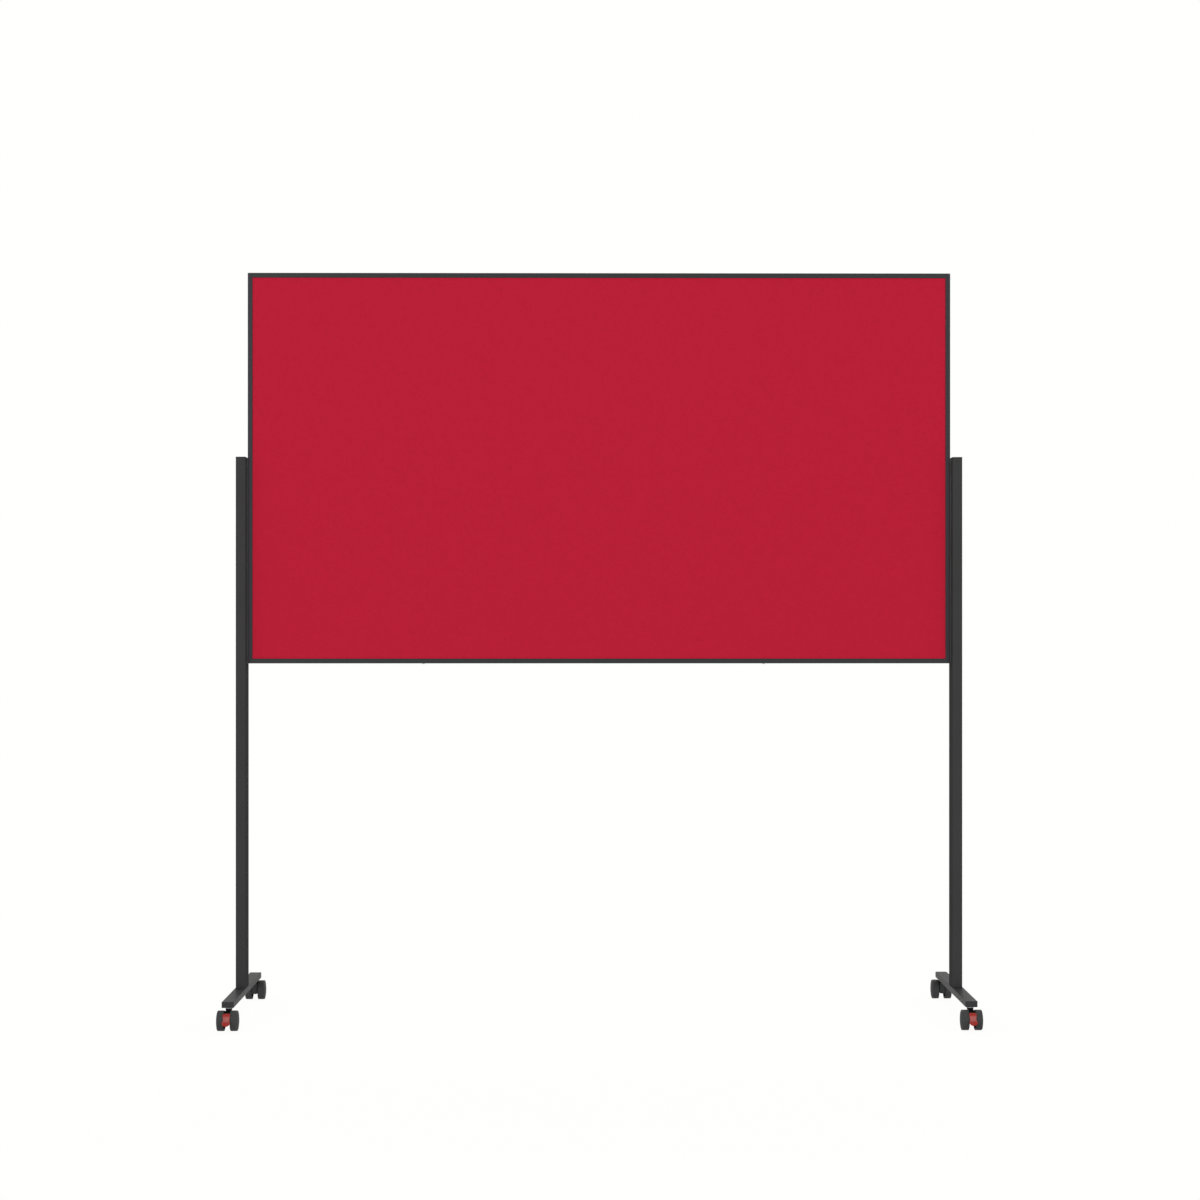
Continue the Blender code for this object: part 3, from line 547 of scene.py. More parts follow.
@dataclass(frozen=True)
class PedalFinish(Finish):
    """A glossy red moulding with a painted highlight: a pale band across the plate's middle, broken up by
    specks.
    """

    # The painted highlight: its tint, the height of its middle, its half-width, the share of it at full
    # strength, its strength, and the specks that break it up.
    painted_highlight: Colour = (200, 140, 136)
    height: float = 0.0320
    reach: float = 0.0085
    core: float = 0.45
    highlight_share: float = 0.42
    speck_cells: float = 700.0
    speck_detail: float = 4.0
    speck_range: Pair = (0.5, 1.1)

    def tint(self, graph: Graph, place: Socket, drift: Socket) -> Socket:
        """Lay the painted highlight band over the moulding's own colour.

        Args:
            graph: The material's graph.
            place: The place on the piece.
            drift: The mixed noise of grain and drift.

        Returns:
            The colour's socket.
        """
        colour = super().tint(graph, place, drift)
        # Painted highlight: a band about one height on the pedal, strongest at its middle and broken up by
        # specks.
        up = graph.feed(graph.add("SeparateXYZ"), Vector=place).outputs["Z"]
        away = graph.math("ABSOLUTE", graph.math("SUBTRACT", up, self.height))
        band = graph.add("MapRange", interpolation_type="SMOOTHSTEP")
        graph.feed(band, Value=away, From_Min=self.reach * self.core, From_Max=self.reach)
        graph.feed(band, To_Min=self.highlight_share, To_Max=0.0)
        specks = graph.noise(place, self.speck_cells, Detail=self.speck_detail)
        share = graph.math("MULTIPLY", band.outputs["Result"], graph.between(specks, *self.speck_range))
        return graph.blend(share, colour, linear(self.painted_highlight))


@dataclass(frozen=True)
class FeltFinish(Finish):
    """Needle felt with lying fibres and a soft bloom."""

    bloom: float = 0.06
    bloom_roughness: float = 0.45
    strand_share: float = 0.6
    strand_gain: float = 1.45

    def paint(self, graph: Graph, shader: Node) -> None:
        """Lay out the fibres, feed the shader from them, and set the bloom on it.

        Args:
            graph: The material's graph.
            shader: Its Principled BSDF.
        """
        fibres = MattedFibre().place(graph, Place=self.place(graph), Strands=self.cells)
        fibre, tuft = fibres.outputs["Fibre"], fibres.outputs["Tuft"]
        body = graph.blend(tuft, *self.shades())
        strand = graph.math("MULTIPLY", fibre, self.strand_share)
        colour = graph.blend(strand, body, linear(self.colour, self.strand_gain))
        self.lay(graph, shader, colour, tuft, graph.math("ADD", fibre, tuft))
        tone = linear(self.colour)
        graph.feed(shader, Sheen_Weight=self.bloom, Sheen_Roughness=self.bloom_roughness, Sheen_Tint=tone)


class Finishes:
    """All the finishes of the pinboard."""

    FELT = FeltFinish(
        "needle_felt", "red_felt", (172, 30, 51), roughness=0.95, specular=0.0,
        cells=300.0, relief=0.5, depth=0.0004, mottle=0.08,
    )
    COAT = Finish(
        "matt_coat", "powder_coat", (63, 63, 63), roughness=0.7, specular=0.0,
        relief=0.6, depth=0.0003, mottle=0.3,
    )
    FOOT_COAT = Finish(
        "foot_coat", "powder_coat", (51, 52, 52), roughness=0.42, specular=0.034,
        relief=0.5, depth=0.00025, mottle=0.3, uneven=0.04, dust=0.03,
    )
    RAIL_UPRIGHT = Finish(
        "rail_upright", "anodised_frame", (57, 55, 59), roughness=0.38, metallic=0.55, specular=0.08,
        cells=1400.0, relief=0.08, depth=0.00004, mottle=0.04, stretch=(1.0, 1.0, 0.01),
    )
    RAIL_LEVEL = replace(
        RAIL_UPRIGHT, title="rail_level", colour=(56, 58, 58), stretch=(0.01, 1.0, 1.0)
    )
    BOARD = Finish(
        "pressed_board", "fibreboard", (168, 146, 116), roughness=0.85, specular=0.2,
        cells=500.0, relief=0.3, depth=0.0002, mottle=0.12,
    )
    ZINC = Finish(
        "bright_zinc", "zinc_steel", (200, 200, 203), roughness=0.32, metallic=1.0, specular=0.5,
        cells=1100.0, relief=0.06, depth=0.00003, uneven=0.08,
    )
    SCREW = Finish(
        "black_oxide", "black_screws", (32, 32, 33), roughness=0.4, metallic=0.3, specular=0.3,
        cells=1800.0, relief=0.06, depth=0.00003, uneven=0.06,
    )
    CAP = Finish(
        "cap_moulding", "cap_plastic", (49, 50, 50), roughness=0.5, specular=0.2,
        cells=1600.0, relief=0.3, depth=0.0001, mottle=0.2,
    )
    STRIP = replace(CAP, title="strip_moulding", colour=(102, 102, 103))
    NYLON = Finish(
        "housing_moulding", "caster_nylon", (60, 61, 61), roughness=0.5, specular=0.03,
        cells=1800.0, relief=0.3, depth=0.0001, mottle=0.2, dust=0.02,
    )
    # Painted light and shade on the housing: the neck's copy of the moulding is lighter to offset the shade
    # under the foot, and the hood's copy is near black as painted shade.
    NECK = replace(NYLON, title="neck_moulding", colour=(68, 68, 68), specular=0.02, dust=0.0)
    HOOD = replace(NECK, title="hood_moulding", colour=(18, 18, 18))
    TREAD = Finish(
        "tyre_moulding", "wheel_nylon", (66, 67, 67), roughness=0.5, specular=0.07,
        cells=1200.0, relief=0.4, depth=0.00015, mottle=0.25, uneven=0.07, dust=0.02,
    )
    PEDAL = PedalFinish(
        "pedal_moulding", "pedal_red", (158, 46, 40), roughness=0.3, specular=0.15,
        cells=2200.0, relief=0.06, depth=0.00003, mottle=0.03, uneven=0.04,
    )


class Shape:
    """A closed solid while it is being modelled."""

    def __init__(self) -> None:
        """Start empty."""
        self.mesh = bmesh.new()

    @classmethod
    def block(cls, low: Sequence[float], high: Sequence[float]) -> "Shape":
        """Make a box.

        Args:
            low: Its lowest corner.
            high: Its highest corner.

        Returns:
            The box.
        """
        shape = cls()
        size = Vector(high) - Vector(low)
        middle = (Vector(high) + Vector(low)) / 2
        turn = Matrix.Translation(middle) @ Matrix.Diagonal((*size, 1.0))
        bmesh.ops.create_cube(shape.mesh, size=1.0, matrix=turn)
        return shape

    @classmethod
    def rod(cls, radius: float, ends: Pair, axis: Axis, place: Sequence[float], steps: int = 32) -> "Shape":
        """Make a round rod.

        Args:
            radius: Its radius.
            ends: Where it starts and ends along the axis, counted from its place.
            axis: The direction it runs in.
            place: A point that its axis goes through.
            steps: Its number of sides.

        Returns:
            The rod.
        """
        shape = cls()
        length = ends[1] - ends[0]
        turn = Axis.Z.unit.rotation_difference(axis.unit).to_matrix().to_4x4()
        shift = Matrix.Translation(Vector(place) + axis.unit * (ends[0] + ends[1]) / 2)
        bmesh.ops.create_cone(
            shape.mesh, cap_ends=True, segments=steps, radius1=radius, radius2=radius, depth=length,
            matrix=shift @ turn,
        )
        return shape

    @classmethod
    def turned(cls, profile: Iterable[Pair], steps: int = 64, closed: bool = False) -> "Shape":
        """Turn a profile about Z.

        Args:
            profile: Radius and height of each point.
            steps: Number of steps in a full turn.
            closed: Whether the last point joins the first, as for a ring.

        Returns:
            The turned solid.
        """
        shape = cls()
        points = [shape.mesh.verts.new((radius, 0.0, height)) for radius, height in profile]
        pairs = list(zip(points, points[1:])) + ([(points[-1], points[0])] if closed else [])
        edges = [shape.mesh.edges.new(pair) for pair in pairs]
        bmesh.ops.spin(
            shape.mesh, geom=points + edges, cent=(0, 0, 0), axis=(0, 0, 1), angle=2 * pi, steps=steps,
            use_merge=True, use_duplicate=False,
        )
        return shape.welded()

    @classmethod
    def outline(cls, points: Sequence[Pair], width: float) -> "Shape":
        """Make a plate of an outline across Y and Z.

        Args:
            points: The outline's places across and up.
            width: The plate's thickness, which lies along X about zero.

        Returns:
            The plate.
        """
        shape = cls()
        corners = [shape.mesh.verts.new((-width / 2, across, up)) for across, up in points]
        face = shape.mesh.faces.new(corners)
        grown = bmesh.ops.extrude_face_region(shape.mesh, geom=[face])
        moved = [item for item in grown["geom"] if isinstance(item, bmesh.types.BMVert)]
        bmesh.ops.translate(shape.mesh, vec=(width, 0, 0), verts=moved)
        return shape.welded()

    def welded(self) -> "Shape":
        """Merge doubled points, drop slivers and turn all faces outwards.

        Returns:
            The same solid.
        """
        bmesh.ops.remove_doubles(self.mesh, verts=self.mesh.verts, dist=WELD)
        bmesh.ops.dissolve_degenerate(self.mesh, edges=self.mesh.edges, dist=WELD / 2)
        bmesh.ops.recalc_face_normals(self.mesh, faces=self.mesh.faces)
        return self

    def moved(self, matrix: Matrix) -> "Shape":
        """Turn, mirror or shift the solid.

        Args:
            matrix: What is done to it.

        Returns:
            The same solid.
        """
        bmesh.ops.transform(self.mesh, matrix=matrix, verts=self.mesh.verts)
        if matrix.determinant() < 0:
            bmesh.ops.reverse_faces(self.mesh, faces=self.mesh.faces)
        return self

    def along(self, axis: Axis) -> Iterator[Edge]:
        """Find the edges that run along an axis.

        Args:
            axis: The axis.

        Yields:
            Each such edge.
        """
        for edge in self.mesh.edges:
            run = edge.verts[1].co - edge.verts[0].co
            if run.length > WELD and abs(run.normalized().dot(axis.unit)) > PARALLEL:
                yield edge

    def sharp(self, least: float = 40.0) -> Iterator[Edge]:
        """Find the edges whose faces meet at an angle.

        Args:
            least: The least angle in degrees between their normals.

        Yields:
            Each such edge.
        """
        for edge in self.mesh.edges:
            if edge.is_manifold and edge.calc_face_angle(0.0) > radians(least):
                yield edge

    def rims(self, axis: Axis) -> list[Edge]:
        """List the rims that lie square to an axis.

        Args:
            axis: The axis.

        Returns:
            The rims' edges.
        """
        found = []
        for edge in self.sharp(RIM_ANGLE):
            start, stop = (vertex.co[axis.value] for vertex in edge.verts)
            if start == stop:
                found.append(edge)
        return found

    def rims_at(self, axis: Axis, place: float) -> list[Edge]:
        """List the rims that lie square to an axis at one place along it."""
        return [edge for edge in self.rims(axis) if abs(edge.verts[0].co[axis.value] - place) < WELD]

    def rounded(self, edges: Iterable[Edge], radius: float, steps: int = 3) -> "Shape":
        """Round some edges.

        Args:
            edges: The edges.
            radius: The rounding's radius.
            steps: Number of faces across the rounding.

        Returns:
            The same solid.
        """
        bmesh.ops.bevel(
            self.mesh, geom=list(edges), offset=radius, offset_type="OFFSET", segments=steps, profile=0.5,
            affect="EDGES", clamp_overlap=True, material=-1,
        )
        return self

    def loose(self, name: str) -> bpy.types.Object:
        """Put the solid in an object of its own, for a Boolean.

        Args:
            name: The object's name.

        Returns:
            The object.
        """
        mesh = bpy.data.meshes.new(name)
        self.mesh.to_mesh(mesh)
        obj = bpy.data.objects.new(name, mesh)
        bpy.context.scene.collection.objects.link(obj)
        return obj

    def join(self, other: "Shape", way: Join) -> "Shape":
        """Add another solid to this one or cut it away.

        Args:
            other: The other solid, which is used up.
            way: Whether it is added or cut.

        Returns:
            The same solid.
        """
        target, tool = self.loose("target"), other.loose("tool")
        step = target.modifiers.new("join", "BOOLEAN")
        step.operation, step.solver, step.object = way.value, "EXACT", tool
        graph = bpy.context.evaluated_depsgraph_get()
        made = bpy.data.meshes.new_from_object(target.evaluated_get(graph))
        self.mesh.clear()
        self.mesh.from_mesh(made)
        for obj in (target, tool):
            mesh = obj.data
            bpy.data.objects.remove(obj)
            bpy.data.meshes.remove(mesh)
        bpy.data.meshes.remove(made)
        other.mesh.free()
        return self

    def beside(self, other: "Shape") -> "Shape":
        """Take another solid into this mesh as it is.

        Args:
            other: The other solid, which is used up.

        Returns:
            The same solid.
        """
        mesh = bpy.data.meshes.new("beside")
        other.mesh.to_mesh(mesh)
        self.mesh.from_mesh(mesh)
        bpy.data.meshes.remove(mesh)
        other.mesh.free()
        return self


@dataclass(frozen=True)
class Fitting:
    """Where a finished piece belongs: its body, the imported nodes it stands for, and its finish."""

    body: str
    finish: Finish
    stands_for: tuple[str, ...] = ()
    crease: float = 35.0

    def fit(self, shape: Shape, name: str) -> bpy.types.Object:
        """Turn a solid into a dressed piece on its body.

        Args:
            shape: The solid, which is used up.
            name: The piece's name.

        Returns:
            The piece.
        """
        mesh = bpy.data.meshes.new(name)
        shape.mesh.to_mesh(mesh)
        shape.mesh.free()
        mesh.shade_smooth()
        mesh.set_sharp_from_angle(angle=radians(self.crease))
        mesh.materials.append(self.finish.material())
        piece = bpy.data.objects.new(name, mesh)
        bpy.context.scene.collection.objects.link(piece)
        even = piece.modifiers.new("even shading", "WEIGHTED_NORMAL")
        even.keep_sharp = True
        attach(piece, self.body)
        if self.stands_for:
            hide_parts(*self.stands_for)
        LOG.info("%s: %d faces, %s, on %s", name, len(mesh.polygons), self.finish.title, self.body)
        return piece


def redress(names: Iterable[str], finish: Finish) -> None:
    """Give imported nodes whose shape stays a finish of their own.

    Args:
        names: The nodes.
        finish: Their finish.
    """
    for name in names:
        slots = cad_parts[name].data.materials
        slots.clear()
        slots.append(finish.material())
        LOG.info("%s: packed shape, %s", name, finish.title)


def hollow_bar(low: Vector, high: Vector, axis: Axis, wall: float, corner: float) -> Shape:
    """Make a rectangular tube with rounded corners.

    Args:
        low: Its lowest corner.
        high: Its highest corner.
        axis: The direction it runs in.
        wall: Its wall.
        corner: The radius of its outer corners.

    Returns:
        The tube, open at both ends.
    """
    tube = Shape.block(low, high)
    tube.rounded(list(tube.along(axis)), corner, CORNER_STEPS)
    inset = Vector([-OVERRUN if axis.value == index else wall for index in range(3)])
    tube.join(Shape.block(low + inset, high - inset), Join.CUT)
    return tube


@dataclass(frozen=True)
class Screw:
    """A screw with a round or sunk head and a hexagon socket."""

    head: float
    rise: float
    shank: float
    socket: float
    socket_depth: float
    sunk: bool = False
    edge: float = 0.00015
    brim: float = 0.3

    def shape(self, length: float) -> Shape:
        """Model the screw along Z, its head's seat at zero and its shank below.

        Args:
            length: How far it reaches down from zero.

        Returns:
            The screw.
        """
        if self.sunk:
            profile = [(0.0, 0.0), (self.head - self.edge, 0.0), (self.head, -self.edge)]
            profile += [(self.shank, -self.rise)]
        else:
            brim = self.brim * self.rise
            profile = [(0.0, self.rise)]
            profile += bend((0.0, brim), (self.head, self.rise - brim), (65, 50, 35, 20, 8, 0))
            profile += [(self.head, 0.0), (self.shank, 0.0)]
        profile += [(self.shank, -length + self.shank / 2), (self.shank / 2, -length), (0.0, -length)]
        body = Shape.turned(profile, steps=36)
        top = 0.0 if self.sunk else self.rise
        hole = (top - self.socket_depth, top + OVERRUN)
        return body.join(Shape.rod(self.socket, hole, Axis.Z, (0, 0, 0), steps=6), Join.CUT)

    def drive(self, node: str, axis: Axis, way: int, finish: Finish, name: str) -> None:
        """Make the screw at the place and in the length of a packed one.

        Args:
            node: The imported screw.
            axis: The direction it runs in, X or Z.
            way: 1 where its head looks up the axis and -1 where it looks down.
            finish: Its finish.
            name: The piece's name.
        """
        low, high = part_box(node)
        place, span = (low + high) / 2, high[axis.value] - low[axis.value]
        rise = 0.0 if self.sunk else self.rise
        place[axis.value] = high[axis.value] - rise if way > 0 else low[axis.value] + rise
        turn = Matrix.Rotation(way * pi / 2, 4, "Y")
        if axis is Axis.Z:
            turn = Matrix.Rotation(0.0 if way > 0 else pi, 4, "X")
        shape = self.shape(span - rise).moved(Matrix.Translation(place) @ turn)
        Fitting("stand", finish, (node,)).fit(shape, name)


@dataclass
class FeltPanel:
    """The board's core with felt stretched over both faces, pressed down under the frame's lips."""

    columns: int = 106
    rows: int = 58
    sag: float = 0.00008
    wave: float = 4.0
    lip_edge: float = 0.0123
    rise: float = 0.0004
    roll: float = 0.0002
    roll_run: float = 0.00005

    def ring(self, sheet: Shape, middle: Vector, grow: float, level: float) -> None:
        """Draw the sheet's open edge outwards.

        Args:
            sheet: The open sheet.
            middle: The sheet's middle.
            grow: How far each side moves out.
            level: Where the new edge lies along Y.
        """
        border = [edge for edge in sheet.mesh.edges if edge.is_boundary]
        half_x = max(abs(edge.verts[0].co.x - middle.x) for edge in border)
        half_z = max(abs(edge.verts[0].co.z - middle.z) for edge in border)
        grown = bmesh.ops.extrude_edge_only(sheet.mesh, edges=border)
        for vertex in (item for item in grown["geom"] if isinstance(item, bmesh.types.BMVert)):
            across, up = vertex.co.x - middle.x, vertex.co.z - middle.z
            if abs(across) > half_x - WELD:
                vertex.co.x += grow if across > 0 else -grow
            if abs(up) > half_z - WELD:
                vertex.co.z += grow if up > 0 else -grow
            vertex.co.y = level

    def skin(self, node: str, out: int) -> Shape:
        """Model one sheet of felt.

        Args:
            node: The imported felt.
            out: -1 for the sheet on the front and 1 for the one on the back.

        Returns:
            The sheet: a barely uneven free face, a rolled step, a pressed rim and a flat back.
        """
        low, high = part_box(node)
        middle, size = (low + high) / 2, high - low
        face = low.y if out < 0 else high.y
        back = high.y if out < 0 else low.y
        inset = self.lip_edge - (low.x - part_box("rail_left")[0].x)
        sheet = Shape()
        spread = Matrix.Diagonal((size.x / 2 - inset, size.z / 2 - inset, 1.0, 1.0))
        turn = Matrix.Translation((middle.x, face, middle.z)) @ Matrix.Rotation(pi / 2, 4, "X") @ spread
        bmesh.ops.create_grid(
            sheet.mesh, x_segments=self.columns, y_segments=self.rows, size=1.0, matrix=turn
        )
        for vertex in sheet.mesh.verts:
            if vertex.is_boundary:
                vertex.co.y -= out * self.roll
            else:
                drift = noise.noise(Vector((vertex.co.x, out, vertex.co.z)) * self.wave)
                vertex.co.y -= out * self.sag * (1 + drift)
        self.ring(sheet, middle, self.roll_run, face - out * self.rise)
        self.ring(sheet, middle, inset - self.roll_run, face - out * self.rise)
        self.ring(sheet, middle, 0.0, back)
        border = [edge for edge in sheet.mesh.edges if edge.is_boundary]
        bmesh.ops.contextual_create(sheet.mesh, geom=border)
        return sheet.welded()

    def build(self) -> None:
        """Make both sheets of felt and dress the core."""
        for face in Face:
            node = f"felt_{face.word}"
            skin = self.skin(node, face.value)
            piece = Fitting("stand", Finishes.FELT, (node,)).fit(skin, f"felt_sheet_{face.word}")
        redress(["board_core"], Finishes.BOARD)


@dataclass
class BoardFrame:
    """Four mitred rails round the panel, with keys in their corners and screws from below."""

    face: float = 0.012
    outer_wall: float = 0.002
    chamber: float = 0.003
    chamber_side: float = 0.0025
    floor: float = 0.0065
    lip: float = 0.0018
    mitre_gap: float = 0.0003
    mitre_reach: float = 0.072
    outer_radius: float = 0.0007
    lip_radius: float = 0.0004
    screw: Screw = Screw(head=0.0035, rise=0.002, shank=0.00175, socket=0.0015, socket_depth=0.0012)

    def rail(self, length: float, depth: float) -> Shape:
        """Model a rail along Z with its outer face at zero.

        Args:
            length: Its length at the outer face.
            depth: Its depth from front to back.

        Returns:
            The rail, mitred at both ends.
        """
        half, end = depth / 2, length / 2 + self.face
        rail = Shape.block((0, -half, -end), (self.face, half, end))
        outer = [edge for edge in rail.along(Axis.Z) if edge.verts[0].co.x < self.face / 2]
        rail.rounded(outer, self.outer_radius, CROWN_STEPS)
        inner = [edge for edge in rail.along(Axis.Z) if edge.verts[0].co.x > self.face - WELD]
        rail.rounded(inner, self.lip_radius)
        lip = half - self.lip
        rail.join(Shape.block((self.floor, -lip, -2 * end), (2 * self.face, lip, 2 * end)), Join.CUT)
        side = half - self.chamber_side
        near, far = self.outer_wall, self.outer_wall + self.chamber
        rail.join(Shape.block((near, -side, -2 * end), (far, side, 2 * end)), Join.CUT)
        reach = self.mitre_reach
        for up in (1, -1):
            wedge = Shape.block((-reach, -depth, 0), (reach, depth, reach))
            wedge.moved(Matrix.Rotation(pi / 4, 4, "Y"))
            wedge.moved(Matrix.Translation((0, 0, length / 2 - self.mitre_gap / 2)))
            if up < 0:
                wedge.moved(Matrix.Scale(-1, 4, (0, 0, 1)))
            rail.join(wedge, Join.CUT)
        return rail.welded()

    def build(self) -> None:
        """Make the four rails and the screws under them, and dress the fittings inside."""
        low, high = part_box("rail_left")
        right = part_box("rail_right")[1]
        bottom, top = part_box("rail_bottom")[0].z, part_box("rail_top")[1].z
        middle, depth = (bottom + top) / 2, high.y - low.y
        width, height = right.x - low.x, top - bottom
        places = {
            "left": (height, (low.x, 0, middle), Matrix(), Finishes.RAIL_UPRIGHT),
            "right": (height, (right.x, 0, middle), Matrix.Rotation(pi, 4, "Z"), Finishes.RAIL_UPRIGHT),
            "bottom": (width, (0, 0, bottom), Matrix.Rotation(-pi / 2, 4, "Y"), Finishes.RAIL_LEVEL),
            "top": (width, (0, 0, top), Matrix.Rotation(pi / 2, 4, "Y"), Finishes.RAIL_LEVEL),
        }
        for word, (length, place, turn, finish) in places.items():
            rail = self.rail(length, depth).moved(Matrix.Translation(place) @ turn)
            Fitting("stand", finish, (f"rail_{word}",)).fit(rail, f"frame_rail_{word}")
        keys = [f"corner_key_{level}_{side.word}" for level in ("bottom", "top") for side in Side]
        redress(keys + [f"slot_bar_{side.word}" for side in Side], Finishes.ZINC)
        for side in Side:
            node, name = f"rail_screw_{side.word}", f"underside_screw_{side.word}"
            self.screw.drive(node, Axis.Z, -1, Finishes.ZINC, name)


@dataclass
class Post:
    """One post: a rectangular tube with its cap, spacer strip, spigot and screws."""

    side: Side
    wall: float = 0.002
    corner: float = 0.00175
    rim: float = 0.0003
    cap_crown: float = 0.0006
    clearance: float = 0.0003
    board_screw: Screw = Screw(
        head=0.0047, rise=0.0027, shank=0.0025, socket=0.0017, socket_depth=0.0018, sunk=True
    )
    spigot_screw: Screw = Screw(head=0.003, rise=0.0013, shank=0.002, socket=0.0013, socket_depth=0.0009)

    def build(self) -> None:
        """Make the post's visible pieces and dress its spigot."""
        self.tube()
        self.cap()
        self.strip()
        self.screws()
        redress([f"spigot_{self.side.word}"], Finishes.ZINC)

    def tube(self) -> None:
        """Make the tube, with seats for the sunk screws in its outer side."""
        word = self.side.word
        low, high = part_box(f"post_{word}")
        tube = hollow_bar(low, high, Axis.Z, self.wall, self.corner)
        tube.rounded(tube.rims(Axis.Z), self.rim, RIM_STEPS)
        reach, depth = self.board_screw.head + self.clearance, self.board_screw.rise
        profile = [(0.0, OVERRUN), (reach, OVERRUN), (reach, 0.0), (reach - depth, -depth), (0.0, -depth)]
        for level in ("lower", "upper"):
            screw_low, screw_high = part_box(f"board_screw_{word}_{level}")
            place = (screw_low + screw_high) / 2
            place.x = low.x if self.side is Side.LEFT else high.x
            turn = Matrix.Rotation(self.side.value * pi / 2, 4, "Y")
            seat = Shape.turned(profile, steps=48).moved(Matrix.Translation(place) @ turn)
            tube.join(seat, Join.CUT)
        Fitting("stand", Finishes.COAT, (f"post_{word}",)).fit(tube, f"post_tube_{word}")

    def cap(self) -> None:
        """Make the cap, a flush plate with a slightly crowned top and a plug below."""
        word = self.side.word
        low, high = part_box(f"post_cap_{word}")
        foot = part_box(f"post_{word}")[1].z
        plate = Shape.block((low.x, low.y, foot + self.clearance), high)
        plate.rounded(list(plate.along(Axis.Z)), self.corner, CORNER_STEPS)
        plate.rounded(plate.rims_at(Axis.Z, high.z), self.cap_crown, CROWN_STEPS)
        inset = self.wall + self.clearance
        plug_low = (low.x + inset, low.y + inset, low.z)
        plug_high = (high.x - inset, high.y - inset, foot + self.rim)
        plate.beside(Shape.block(plug_low, plug_high))
        Fitting("stand", Finishes.CAP, (f"post_cap_{word}",)).fit(plate, f"post_end_cap_{word}")

    def strip(self) -> None:
        """Make the spacer strip between post and frame."""
        node = f"spacer_{self.side.word}"
        strip = Shape.block(*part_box(node))
        strip.rounded(list(strip.sharp()), self.rim, RIM_STEPS)
        Fitting("stand", Finishes.STRIP, (node,)).fit(strip, f"spacer_strip_{self.side.word}")

    def screws(self) -> None:
        """Make the sunk screws on the outer side and the small one low on the inner side."""
        word, out = self.side.word, self.side.value
        for level in ("lower", "upper"):
            node, name = f"board_screw_{word}_{level}", f"sunk_screw_{word}_{level}"
            self.board_screw.drive(node, Axis.X, out, Finishes.SCREW, name)
        self.spigot_screw.drive(
            f"spigot_screw_{word}", Axis.X, -out, Finishes.SCREW, f"clamp_screw_{word}"
        )


@dataclass
class Foot:
    """One foot: a flat tube with a plug in each end."""

    side: Side
    wall: float = 0.002
    corner: float = 0.00155
    rim: float = 0.0003
    plate: float = 0.003
    pillow: float = 0.0008
    stem_hole: float = 0.0043
    stem_inset: float = 0.021
    hole_reach: float = 0.02

    def build(self) -> None:
        """Make the foot's tube and its two plugs."""
        word = self.side.word
        low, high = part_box(f"foot_{word}")
        tube = hollow_bar(low, high, Axis.Y, self.wall, self.corner)
        tube.rounded(tube.rims(Axis.Y), self.rim, RIM_STEPS)
        for end in End:
            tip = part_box(f"foot_plug_{end.word}_{word}")[0 if end is End.FRONT else 1].y
            place = ((low.x + high.x) / 2, tip - end.value * self.stem_inset, low.z)
            depth = (-self.wall, 2 * self.wall)
            tube.join(Shape.rod(self.stem_hole, depth, Axis.Z, place, steps=40), Join.CUT)
            self.plug(end)
        Fitting("stand", Finishes.FOOT_COAT, (f"foot_{word}",)).fit(tube, f"foot_tube_{word}")

    def plug(self, end: End) -> None:
        """Make one plug: a plate over the tube's end, softly rounded, and a block inside.

        Args:
            end: Which end of the foot it closes.
        """
        place = f"{end.word}_{self.side.word}"
        node = f"foot_plug_{place}"
        low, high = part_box(node)
        plate_low, plate_high = low.copy(), high.copy()
        block_low, block_high = low.copy(), high.copy()
        if end is End.FRONT:
            outer = low.y
            plate_high.y = low.y + self.plate
            block_low.y = plate_high.y - self.rim
        else:
            outer = high.y
            plate_low.y = high.y - self.plate
            block_high.y = plate_low.y + self.rim
        plate = Shape.block(plate_low, plate_high)
        plate.rounded(list(plate.along(Axis.Y)), self.corner, CORNER_STEPS)
        plate.rounded(plate.rims_at(Axis.Y, outer), self.pillow, CROWN_STEPS)
        inset = Vector((self.wall + self.rim, 0.0, self.wall + self.rim))
        block = Shape.block(block_low + inset, block_high - inset)
        stem = ((low.x + high.x) / 2, outer - end.value * self.stem_inset, low.z)
        reach = (-self.hole_reach, self.hole_reach)
        block.join(Shape.rod(self.stem_hole, reach, Axis.Z, stem, steps=40), Join.CUT)
        Fitting("stand", Finishes.CAP, (node,)).fit(plate.beside(block), f"foot_end_plug_{place}")


@dataclass
class CasterPart:
    """What the parts of a twin-wheel caster share: its place, trail, wheel radius and pedal pivot."""

    side: Side
    end: End
    trail: float = 0.020
    radius: float = 0.025
    pivot_radius: float = 0.0192
    pivot_angle: float = 51.3

    @property
    def place(self) -> str:
        """The caster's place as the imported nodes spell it."""
        return f"{self.end.word}_{self.side.word}"

    @property
    def axle(self) -> Pair:
        """The axle's place across and up in the caster's own frame."""
        return self.around(0.0, 0.0)

    @property
    def pivot(self) -> Pair:
        """The place of the pedal's pin across and up in the caster's own frame."""
        return self.around(self.pivot_radius, self.pivot_angle)

    def stance(self) -> Matrix:
        """Find where the caster stands.

        Returns:
            The turn and shift from the caster's own frame, trailing towards -Y, to its place.
        """
        low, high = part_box(f"caster_stem_{self.place}")
        middle = (low + high) / 2
        turn = Matrix.Rotation(0.0 if self.end is End.FRONT else pi, 4, "Z")
        return Matrix.Translation((middle.x, middle.y, 0)) @ turn

    def around(self, radius: float, angle: float) -> Pair:
        """Return the place across and up at a radius and an angle in degrees from the axle."""
        turn = radians(angle)
        return -(self.trail + radius * cos(turn)), self.radius + radius * sin(turn)


